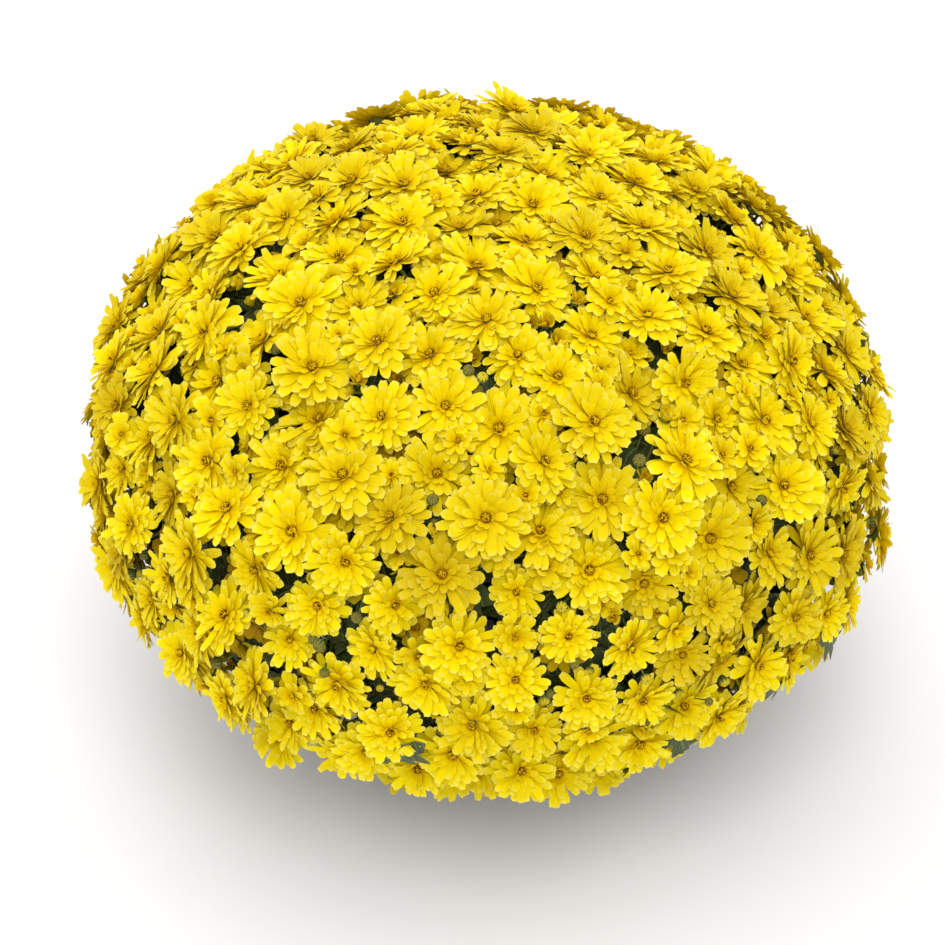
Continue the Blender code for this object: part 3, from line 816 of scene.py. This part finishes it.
def peat():
    """Damp peat: dark brown crumbs and paler fibres, quite matt."""
    made, tree, shader = start_material("peat potting soil")
    place = add_node(tree, "TexCoord")
    # crumbs about 3 mm across, among fibres of about 4.5 mm
    crumbs = add_node(tree, "TexVoronoi", {"Vector": place.outputs["Object"], "Scale": 350.0})
    fibres = add_node(
        tree, "TexNoise",
        {"Vector": place.outputs["Object"], "Scale": 220.0, "Detail": 6.0, "Roughness": 0.75},
    )
    brown = add_node(
        tree, "ValToRGB", {"Fac": fibres},
        stops=((0.30, "1E140C"), (0.55, "3A281A"), (0.78, "6A5036")),
    )
    bump = add_node(tree, "Bump", {"Height": crumbs, "Strength": 0.8, "Distance": 0.001})
    set_inputs(tree, shader, {"Base Color": brown, "Normal": bump, "Roughness": 0.95})
    return made


# The pieces

PETALS = petal_tissue()
LEAVES = leaf_tissue()
STALKS = stalk_tissue()
BARK = stem_bark()
GREENS = [STALKS, LEAVES]
LEAF_FINISH = 1


def blooms(count, first_seed, rings, lean, heart, heart_height):
    """Blooms of one kind, each from its own seed."""
    return [bloom(first_seed + k, rings, lean, heart, heart_height) for k in range(count)]


open_blooms = blooms(9, 100, OPEN_RINGS, lean=8, heart=0.13, heart_height=0.14)
small_blooms = blooms(6, 200, SMALL_RINGS, lean=8, heart=0.14, heart_height=0.17)
half_open_blooms = blooms(3, 300, HALF_OPEN_RINGS, lean=6, heart=0.24, heart_height=0.12)
older_blooms = blooms(3, 400, OLDER_RINGS, lean=8, heart=0.20, heart_height=0.12)
leaves = [leaf_mesh(LEAF_STATIONS, wave) for wave in (0.012, 0.02, 0.03)]
deep_leaves = [leaf_mesh(DEEP_LEAF_STATIONS, wave) for wave in (0.012, 0.03)]
stalk = tube_mesh(4, 3)
branch = tube_mesh(7, 12)
calyx = calyx_mesh()
bud = bud_mesh()

# A kind of bloom that grows between the open ones: its radii, how far out it stands as a share of
# the dome, how faded it is, how wide its green cup is on it, and its stalk's radii
Kind = namedtuple("Kind", "templates radii shares fades cup stalk_radii")
SMALL = Kind(small_blooms, (0.0095, 0.0150), (0.95, 1.0), (0, 0.25), 1.0, (0.0011, 0.0009))
HALF_OPEN = Kind(half_open_blooms, (0.0055, 0.0085), (0.92, 0.99), (0, 0.3), 1.4, (0.0010, 0.0008))
# the older blooms' deep fade is partly their age and partly painted shade from the blooms over them
OLDER = Kind(older_blooms, (0.0120, 0.0155), (0.895, 0.935), (0.4, 1.0), 1.0, (0.0011, 0.0009))

# A spray that is growing: its two meshes, the place and heading of its fork, and its draws
Spray = namedtuple("Spray", "petals greens fork axis draw")


def place_of(centre, axis, spin, scale):
    return Matrix.Translation(centre) @ turn_to(axis, spin) @ Matrix.Scale(scale, 4)


def add_stalk(spray, end, axis, radii):
    """A stalk from the spray's fork up to a bloom or bud, which it meets along its axis."""
    way = end - spray.fork
    rise, bow = STALK_CURVE
    curve = (
        spray.fork + way * STALK_START,
        spray.fork + spray.axis * (rise * way.length),
        end - axis * (bow * way.length),
        end,
    )
    lay_tube(spray.greens, stalk, curve, radii, tint=0.5)


def add_leaf(spray, middle, along, face_up, length, shapes):
    """A leaf, and its thin stalk from the spray's fork."""
    shape = shapes[spray.draw.integers(len(shapes))]
    place = frame_of(middle, along, face_up, length)
    join(spray.greens, shape, place, LEAF_FINISH, tint=spray.draw.uniform(0, 1))
    foot = middle - along * (LEAF_FOOT * length)
    curve = (
        spray.fork + (foot - spray.fork) * STALK_START,
        spray.fork + spray.axis * PETIOLE_REACH,
        foot - along * PETIOLE_REACH,
        foot,
    )
    lay_tube(spray.greens, stalk, curve, PETIOLE_RADII)


directions = bloom_directions()
skirt = (SKIRT_HEIGHT - DOME_MIDDLE) / DOME_HALF_HEIGHT
shown = [direction for direction in directions if direction.z >= skirt]
sprays = spray_directions(skirt)
owners = [nearest_spray(direction, sprays) for direction in shown]
corners = between_blooms(directions, skirt - 0.04)
corner_owners = [nearest_spray(direction, sprays) for direction in corners]
openings = [(on_dome(direction_in_degrees(turn, up)), half) for turn, up, half in OPENINGS]


def choose_leafy_corners():
    """The corners nearest to the given leaves, and a seeded share of the skirt's others."""
    draw = np.random.default_rng(SEED + 3000)
    chosen = []
    for turn, up in SKIRT_LEAVES:
        place = on_dome(direction_in_degrees(turn, up))
        chosen.append(min(corners, key=lambda corner: (on_dome(corner) - place).length))
    for direction in corners:
        low_behind = direction.z < SKIRT_LEAVES_BELOW and direction.y > SKIRT_LEAVES_BEHIND
        if low_behind and draw.uniform() < SKIRT_LEAF_SHARE:
            chosen.append(direction)
    return chosen


leafy_corners = choose_leafy_corners()


def in_opening(place):
    return any((place - middle).length < OPENING_MARGIN + half for middle, half in openings)


def hanging_leaf(spray, direction):
    """A leaf whose face shows between the lowest blooms, hanging from its stalk."""
    draw = spray.draw
    outward = dome_normal(direction)
    out, back = HANGING_TURN
    down = Vector((0, 0, -1)) + outward * out + Vector(draw.normal(0, HANGING_SPREADS[0], 3))
    along = (down - outward * (back * down.dot(outward))).normalized()
    length = draw.uniform(*HANGING_LENGTHS)
    middle = on_dome(direction, draw.uniform(*HANGING_SHARES))
    face_up = outward + Vector(draw.normal(0, HANGING_SPREADS[1], 3))
    add_leaf(spray, middle, along, face_up, length, leaves)


def deep_leaf(spray, direction):
    """A leaf under the blooms that closes the view through the dome where three of them meet."""
    draw = spray.draw
    outward = dome_normal(direction)
    length = draw.uniform(*DEEP_LENGTHS)
    middle = on_dome(direction, draw.uniform(*DEEP_SHARES))
    spin = Matrix.Rotation(draw.uniform(0, math.tau), 3, outward)
    along = spin @ outward.orthogonal().normalized()
    face_up = outward + Vector(draw.normal(0, DEEP_SPREAD, 3))
    add_leaf(spray, middle, along, face_up, length, deep_leaves)


def standing_leaf(spray, direction):
    """A leaf that stands between the stalks, with its tip just under the blooms."""
    draw = spray.draw
    length = draw.uniform(*STANDING_LENGTHS)
    tip_share = draw.uniform(*STANDING_TIPS)
    heading, facing = STANDING_SPREADS
    along = (dome_normal(direction) + Vector(draw.normal(0, heading, 3))).normalized()
    middle = on_dome(direction, tip_share) - along * (0.5 * length)
    face_up = along.orthogonal() + Vector(draw.normal(0, facing, 3))
    add_leaf(spray, middle, along, face_up, length, deep_leaves)


def add_bloom(spray, kind, direction, axis, spin):
    """A bloom between the open ones, with its green cup and its stalk."""
    draw = spray.draw
    radius = draw.uniform(*kind.radii)
    centre = on_dome(direction, draw.uniform(*kind.shares))
    template = kind.templates[draw.integers(len(kind.templates))]
    place = place_of(centre, axis, spin, radius)
    join(spray.petals, template, place, fade=draw.uniform(*kind.fades))
    join(spray.greens, calyx, place_of(centre, axis, spin, kind.cup * radius))
    add_stalk(spray, centre - axis * (STALK_INSET * radius), axis, kind.stalk_radii)


def add_buds(spray, direction, axis, spin):
    """One to three buds close together, each on its own stalk; some show yellow."""
    draw = spray.draw
    for _ in range(draw.integers(1, 4)):
        centre = on_dome(direction, draw.uniform(*BUD_SHARES)) + Vector(draw.normal(0, BUD_SPREAD, 3))
        own_axis = (axis + Vector(draw.normal(0, BUD_LEAN, 3))).normalized()
        place = place_of(centre, own_axis, spin, draw.uniform(*BUD_RADII))
        join(spray.greens, bud, place, fade=float(draw.uniform() < YELLOW_BUDS))
        add_stalk(spray, centre, own_axis, BUD_STALK_RADII)


def corner_kind(direction, chance):
    """A corner's draw, shifted so that the top has more blooms and the sides have more buds."""
    if direction.z > TOP_SINE:
        return chance * TOP_SCALE
    return chance + (LOW_SHIFT if direction.z < LOW_SINE else SIDE_SHIFT)


def fill_corner(spray, direction):
    """What grows where three blooms meet: a bloom of another kind or buds, and leaves."""
    if direction in leafy_corners:
        hanging_leaf(spray, direction)
        deep_leaf(spray, direction)
        return
    draw = spray.draw
    bare = in_opening(on_dome(direction))
    lean = Vector(draw.normal(0, CORNER_LEAN, 3)) + Vector((0, 0, BLOOM_LIFT))
    axis = (dome_normal(direction) + lean).normalized()
    kind = corner_kind(direction, draw.uniform(0, 1))
    spin = draw.uniform(0, math.tau)
    if kind < SMALL_LIMIT and not bare:
        add_bloom(spray, SMALL, direction, axis, spin)
    elif kind < HALF_OPEN_LIMIT:
        add_bloom(spray, HALF_OPEN, direction, axis, spin)
    elif kind < OLDER_LIMIT and not bare:
        add_bloom(spray, OLDER, direction, axis, spin)
    else:
        add_buds(spray, direction, axis, spin)
    leaf_chance = LEAF_BY_BUDS if bare or kind >= OLDER_LIMIT else LEAF_BY_BLOOM
    if draw.uniform() < leaf_chance and direction.z < TOP_SINE:
        standing_leaf(spray, direction)
    deep_leaf(spray, direction)


def add_open_bloom(spray, direction, place_draw):
    """An open bloom where the solids have it, with its green cup and its stalk."""
    on_top = direction.z > TOP_SINE
    radius = sum(BLOOM_RADII) / 2
    radius += BLOOM_VARIETY[on_top] * (place_draw.uniform(*BLOOM_RADII) - radius)
    radius *= BLOOM_SPREAD[on_top]
    centre = on_dome(direction, place_draw.uniform(*BLOOM_SHARES))
    lift = Vector((0, 0, BLOOM_LIFT + SKIRT_LIFT * max(0.0, SKIRT_TURN - direction.z)))
    lean = Vector(place_draw.normal(0, BLOOM_LEAN, 3))
    axis = (dome_normal(direction) + lift + lean).normalized()
    centre -= axis * (BLOOM_SINK * radius)
    draw = spray.draw
    place = place_of(centre, axis, draw.uniform(0, math.tau), radius)
    fade = OPEN_FADE * draw.uniform(0, 1) ** 3
    join(spray.petals, open_blooms[draw.integers(len(open_blooms))], place, fade=fade)
    join(spray.greens, calyx, place)
    add_stalk(spray, centre - axis * (STALK_INSET * radius), axis, STALK_RADII)


def build_sprays():
    """Every spray's blooms and greens. Returns each spray's fork and its axis there."""
    place_draw = np.random.default_rng(SEED)
    draw = np.random.default_rng(SEED + 1000)
    forks = []
    for number in range(len(sprays)):
        own = [direction for direction, owner in zip(shown, owners) if owner == number]
        middle = sum(own, Vector()).normalized()
        fork = on_dome(middle, SPRAY_FORK_SHARE)
        spray = Spray(start_mesh(), start_mesh(), fork, dome_normal(middle), draw)
        for direction in own:
            add_open_bloom(spray, direction, place_draw)
        for direction, owner in zip(corners, corner_owners):
            if owner == number:
                fill_corner(spray, direction)
        label = f"{number + 1:02d}"
        finished_piece(f"spray_blooms_{label}", spray.petals, [PETALS], "petals", f"spray_{label}")
        finished_piece(f"spray_stalks_{label}", spray.greens, GREENS, "foliage")
        forks.append((spray.fork, spray.axis))
    return forks


def clear_for_leaf(point, azimuth):
    """Whether a leaf may reach this point: under the sprays, off the pot, in its own sector."""
    height = (point.z - DOME_MIDDLE) / DOME_HALF_HEIGHT
    share = Vector((point.x / DOME_RADIUS, point.y / DOME_RADIUS, height)).length
    flat = math.hypot(point.x, point.y)
    under_sprays = share < SPRAY_FORK_SHARE - LEAF_UNDER_FORK
    hanging = point.z < SKIRT_HEIGHT and flat < LEAF_HANG_RADIUS and point.z > LEAF_LOWEST
    off_pot = point.z > POT_HEIGHT + LEAF_CLEAR or flat > POT_RIM_RADIUS + LEAF_CLEAR
    apart = math.pi / CUTTINGS - abs(math.remainder(math.atan2(point.y, point.x) - azimuth, math.tau))
    return (under_sprays or hanging) and off_pot and flat * math.sin(apart) > LEAF_CLEAR


def blade_points(middle, along, across, face_up, length):
    """The corners of the solids' leaf blade, which its room is checked with."""
    half = length / 2
    outline = [*LEAF_OUTLINE, *((-turn, share) for turn, share in reversed(LEAF_OUTLINE[1:-1]))]
    points = [middle + face_up * (side * LEAF_THICKNESS / 2) for side in (1, -1)]
    for turn, share in outline:
        x = math.cos(math.radians(turn)) * share * half
        y = math.sin(math.radians(turn)) * share * half * LEAF_WIDTH
        sag = LEAF_KEEL * abs(y) - LEAF_ARCH * x * x / half
        points.append(middle + along * x + across * y + face_up * sag)
    return points


def leaf_place(root, heading, azimuth, taken, draw):
    """Where the solids' leaf stands, by the same draws, or None where it has no room."""
    for _ in range(LEAF_TRIES):
        length = draw.uniform(*LEAF_LENGTHS)
        along = (heading * LEAF_AHEAD + Vector(draw.normal(0, LEAF_SPREAD, 3))).normalized()
        middle = root + along * (LEAF_STALK * length)
        face_up = Vector(draw.normal(0, LEAF_TILT, 3)) + Vector((0, 0, 1)) + heading * LEAF_OUTWARD
        across = face_up.cross(along).normalized()
        face_up = along.cross(across)
        if any((middle - place).length < room * length for place, room in taken):
            continue
        points = blade_points(middle, along, across, face_up, length)
        if all(clear_for_leaf(point, azimuth) for point in points):
            taken.append((middle, LEAF_APART))
            return middle, along, face_up, length
    return None


def branch_curve(fork, tip, axis):
    """A branch's course, as in the solids: from the stem's fork to just under its spray."""
    start = fork - Vector((0, 0, BRANCH_RADII[0]))
    end = tip - axis * TIP_GAP
    rim_lift = Vector((0, 0, RIM_LIFT if axis.z < RIM_SINE else 0.0))
    back = end - axis * BRANCH_END + rim_lift
    heading = ((end - start).normalized() + Vector((0, 0, BRANCH_RISE))).normalized()
    return start, start + heading * BRANCH_START + rim_lift, back, end


def add_branch_leaf(wood, shape, root, middle, along, face_up, length):
    """A leaf with its stalk, where the solids' leaf stands on its branch."""
    join(wood, shape, frame_of(middle, along, face_up, length), LEAF_FINISH)
    foot = middle - along * (LEAF_FOOT * length)
    reach = along * BRANCH_PETIOLE_REACH
    lay_tube(wood, stalk, (root, root + reach, foot - reach, foot), PETIOLE_RADII)


def build_cutting(number, carried):
    """One rooted cutting: its woody stem, a branch to each of its sprays, and the leaves on them."""
    azimuth = math.radians(FIRST_AZIMUTH + 360 * number / CUTTINGS)
    outward = Vector((math.cos(azimuth), math.sin(azimuth), 0))
    root = stem_foot(number, SOIL_TOP - STEM_HOLE_DEPTH)
    collar = stem_foot(number, SOIL_TOP + STEM_COLLAR)
    fork = outward * STEM_FORK[0] + Vector((0, 0, STEM_FORK[1]))
    draw = np.random.default_rng(SEED + number)
    wood = start_mesh()
    stem = (root, collar, collar + (fork - collar) * 0.5, fork)
    lay_tube(wood, branch, stem, (STEM_RADIUS, STEM_TOP_RADIUS))
    curves = [branch_curve(fork, tip, axis) for tip, axis in carried]
    shares = [k / BRANCH_STEPS for k in range(BRANCH_STEPS + 1)]
    routes = [[bend(*curve, share)[0] for share in shares] for curve in curves]
    taken = [(place, BRANCH_APART) for route in routes for place in route]
    for curve, (_, axis), route in zip(curves, carried, routes):
        lay_tube(wood, branch, curve, BRANCH_RADII)
        for k in LOW_LEAVES if axis.z < RIM_SINE else HIGH_LEAVES:
            heading = (route[k] - route[k - 1]).normalized()
            found = leaf_place(route[k], heading, azimuth, taken, draw)
            if found:
                add_branch_leaf(wood, leaves[k % len(leaves)], route[k], *found)
    finished_piece(f"rooted_cutting_{number + 1}", wood, [BARK, LEAVES], "foliage", f"cutting_{number + 1}")


forks = build_sprays()
for number in range(CUTTINGS):
    build_cutting(number, [fork for k, fork in enumerate(forks) if spray_cutting(k) == number])


def turned(profile, steps):
    """A closed round body from a profile of distance and height that starts and ends on the axis."""
    bm = bmesh.new()
    verts = [bm.verts.new((distance, 0, height)) for distance, height in profile]
    edges = [bm.edges.new(pair) for pair in zip(verts, verts[1:])]
    bmesh.ops.spin(
        bm, geom=verts + edges, cent=(0, 0, 0), axis=(0, 0, 1), angle=math.tau,
        steps=steps, use_merge=True,
    )
    bmesh.ops.remove_doubles(bm, verts=bm.verts, dist=1e-5)
    bmesh.ops.recalc_face_normals(bm, faces=bm.faces)
    return bm


def build_pot():
    """The moulded pot: foot ring, tapering wall, rounded lip, and holes through its floor."""
    top = POT_RIM_RADIUS - POT_LIP
    low_lip = POT_HEIGHT - POT_LIP_HEIGHT
    profile = (
        (0, FOOT_RISE),
        (POT_BASE_RADIUS - FOOT_WIDTH, FOOT_RISE),
        (POT_BASE_RADIUS - FOOT_WIDTH + EDGE_BEVEL, 0),
        (POT_BASE_RADIUS - EDGE_BEVEL, 0),
        (POT_BASE_RADIUS, EDGE_BEVEL),
        (top - POT_SHOULDER, low_lip),
        (POT_RIM_RADIUS - EDGE_BEVEL, low_lip),
        (POT_RIM_RADIUS, low_lip + EDGE_BEVEL),
        (POT_RIM_RADIUS, POT_HEIGHT - LIP_ROUND),
        (POT_RIM_RADIUS - LIP_ROUND / 3, POT_HEIGHT - LIP_ROUND / 3),
        (POT_RIM_RADIUS - LIP_ROUND, POT_HEIGHT),
        (top - POT_WALL + MOUTH_BEVEL, POT_HEIGHT),
        (top - POT_WALL, POT_HEIGHT - MOUTH_BEVEL),
        (POT_BASE_RADIUS - POT_WALL, POT_FLOOR + FLOOR_BEVEL),
        (POT_BASE_RADIUS - POT_WALL - FLOOR_BEVEL, POT_FLOOR),
        (0, POT_FLOOR),
    )
    cutters = bmesh.new()
    for k in range(DRAIN_HOLES):
        turn = math.tau * (k + 0.5) / DRAIN_HOLES
        centre = (DRAIN_CIRCLE * math.cos(turn), DRAIN_CIRCLE * math.sin(turn), 0)
        bmesh.ops.create_cone(
            cutters, segments=24, radius1=DRAIN_RADIUS, radius2=DRAIN_RADIUS, depth=4 * POT_FLOOR,
            cap_ends=True, matrix=Matrix.Translation(centre),
        )
    cutter = add_object("cutter", new_mesh("cutter", cutters))
    shell = add_object("shell", new_mesh("shell", turned(profile, POT_STEPS)))
    holes = shell.modifiers.new("holes", "BOOLEAN")
    holes.object = cutter
    holes.operation = "DIFFERENCE"
    holes.solver = "EXACT"
    bm = bmesh.new()
    bm.from_object(shell, bpy.context.evaluated_depsgraph_get())
    bmesh.ops.remove_doubles(bm, verts=bm.verts, dist=1e-5)
    for obj in (cutter, shell):
        bpy.data.objects.remove(obj, do_unlink=True)
    pot = finished_piece("nursery_pot", bm, [moulded_polypropylene()], "pot_plastic", "pot")
    pot.data.set_sharp_from_angle(angle=math.radians(40))


def build_soil():
    """The peat that fills the pot: crumbly on top, banked up round each stem."""
    slope = (POT_RIM_RADIUS - POT_LIP - POT_BASE_RADIUS) / (POT_HEIGHT - POT_FLOOR)
    low = POT_BASE_RADIUS - POT_WALL - SOIL_WALL_GAP
    edge = SOIL_TOP - SOIL_MOUND
    rim = low + slope * (edge - POT_FLOOR)
    up_bank = [k / SOIL_BANK_RINGS for k in range(SOIL_BANK_RINGS + 1)]
    rings = [(rim + (SOIL_FLAT_RADIUS - rim) * share, edge + SOIL_MOUND * share) for share in up_bank]
    inwards = [k / SOIL_FLAT_RINGS for k in range(1, SOIL_FLAT_RINGS)]
    rings += [(SOIL_FLAT_RADIUS * (1 - share), SOIL_TOP) for share in inwards]
    bottom = POT_FLOOR + SOIL_LIFT
    profile = [(0, bottom), (low, bottom), *rings, (0, SOIL_TOP)]
    bm = turned(profile, SOIL_STEPS)
    feet = [stem_foot(number, SOIL_TOP) for number in range(CUTTINGS)]
    fineness, relief = SOIL_GRAIN
    bank_width, bank_height = STEM_BANK
    for vert in bm.verts:
        if vert.co.z > edge - 0.001:
            uneven = noise.fractal(vert.co * fineness, 1.0, 2.0, 4) * relief
            near = min((Vector((vert.co.x, vert.co.y, SOIL_TOP)) - foot).length for foot in feet)
            inset = min(1.0, (rim - math.hypot(vert.co.x, vert.co.y)) / SOIL_EDGE)
            vert.co.z += uneven * inset + bank_height * math.exp(-((near / bank_width) ** 2))
    draw = np.random.default_rng(SEED + 2000)
    for _ in range(CRUMBS):
        turn = draw.uniform(0, math.tau)
        far = (rim - SOIL_EDGE) * math.sqrt(draw.uniform(0, 1))
        size = draw.uniform(*CRUMB_RADII)
        share = min(1.0, (rim - far) / (rim - SOIL_FLAT_RADIUS))
        height = edge + SOIL_MOUND * share + 0.1 * size
        place = Vector((far * math.cos(turn), far * math.sin(turn), height))
        shape = Matrix.Diagonal((*draw.uniform(*CRUMB_SHAPES, 3), 1))
        spun = Matrix.Rotation(draw.uniform(0, math.tau), 4, Vector(draw.normal(0, 1, 3)).normalized())
        bmesh.ops.create_icosphere(
            bm, subdivisions=1, radius=size, matrix=Matrix.Translation(place) @ spun @ shape
        )
    finished_piece("potting_soil", bm, [peat()], "potting_soil", "soil")


build_pot()
build_soil()


# Stage: pale floor, soft studio light, and a camera at the photograph's angle

IMAGE_SIDE = 945
CAMERA_HEIGHT_ANGLE = 36.0
CAMERA_DISTANCE = 1.4
CAMERA_LENS = 88.6
SUBJECT_PIXEL = (487, 427)  # where the dome's middle lies in the photograph
HORIZON_LIGHT = 0.60
OVERHEAD_LIGHT = 0.96
DISPLAY_GAMMA = 1.12  # softens the contrast, as the photograph's own tone curve does
SUBJECT = Vector((0, 0, DOME_MIDDLE))
FLOOR_HALF_SIDE = 6.0
FLOOR_WHITE = (0.95, 0.95, 0.96, 1)
LAMPS = (  # name, place, diameter and power
    ("key light", (0.1, -1.4, 2.0), 1.4, 17.3),
    ("top light", (0.0, -0.1, 2.6), 2.0, 9.5),
    ("back light", (-0.5, 1.5, 1.7), 1.4, 7.0),
    ("left fill light", (-1.8, -0.7, 0.55), 1.0, 3.5),
)


def build_floor():
    """The floor under the part, wider than the camera sees."""
    bm = bmesh.new()
    bmesh.ops.create_grid(bm, x_segments=1, y_segments=1, size=FLOOR_HALF_SIDE)
    mesh = new_mesh("floor", bm)
    white, tree, shader = start_material("matt white studio floor")
    set_inputs(tree, shader, {"Base Color": FLOOR_WHITE, "Roughness": 0.9})
    mesh.materials.append(white)
    floor = add_object("floor", mesh)


def light_studio():
    """The light that comes from everywhere: white, and stronger from overhead."""
    world = bpy.data.worlds.new("studio")
    world.use_nodes = True
    tree = world.node_tree
    way = add_node(tree, "TexCoord")
    split = add_node(tree, "SeparateXYZ", {"Vector": way.outputs["Generated"]})
    strength = add_node(
        tree, "MapRange", {"Value": split.outputs["Z"], "To Min": HORIZON_LIGHT, "To Max": OVERHEAD_LIGHT}
    )
    set_inputs(tree, tree.nodes["Background"], {"Color": (1, 1, 1, 1), "Strength": strength})
    bpy.context.scene.world = world
    bpy.context.scene.view_settings.view_transform = "Standard"
    bpy.context.scene.view_settings.gamma = DISPLAY_GAMMA


def aim(obj, place):
    """Puts a lamp or the camera at a place, turned to the dome's middle."""
    obj.location = place
    obj.rotation_euler = (SUBJECT - Vector(place)).to_track_quat("-Z", "Y").to_euler()


def add_lamps():
    for name, place, size, power in LAMPS:
        light = bpy.data.lights.new(name, "AREA")
        light.shape = "DISK"
        light.size = size
        light.energy = power
        aim(add_object(name, light), place)


def add_camera():
    camera = bpy.data.cameras.new("camera")
    camera.lens = CAMERA_LENS
    camera.shift_x = (IMAGE_SIDE / 2 - SUBJECT_PIXEL[0]) / IMAGE_SIDE
    camera.shift_y = (SUBJECT_PIXEL[1] - IMAGE_SIDE / 2) / IMAGE_SIDE
    up = math.radians(CAMERA_HEIGHT_ANGLE)
    obj = add_object("camera", camera)
    aim(obj, SUBJECT + Vector((0, -math.cos(up), math.sin(up))) * CAMERA_DISTANCE)
    bpy.context.scene.camera = obj


build_floor()
light_studio()
add_lamps()
add_camera()
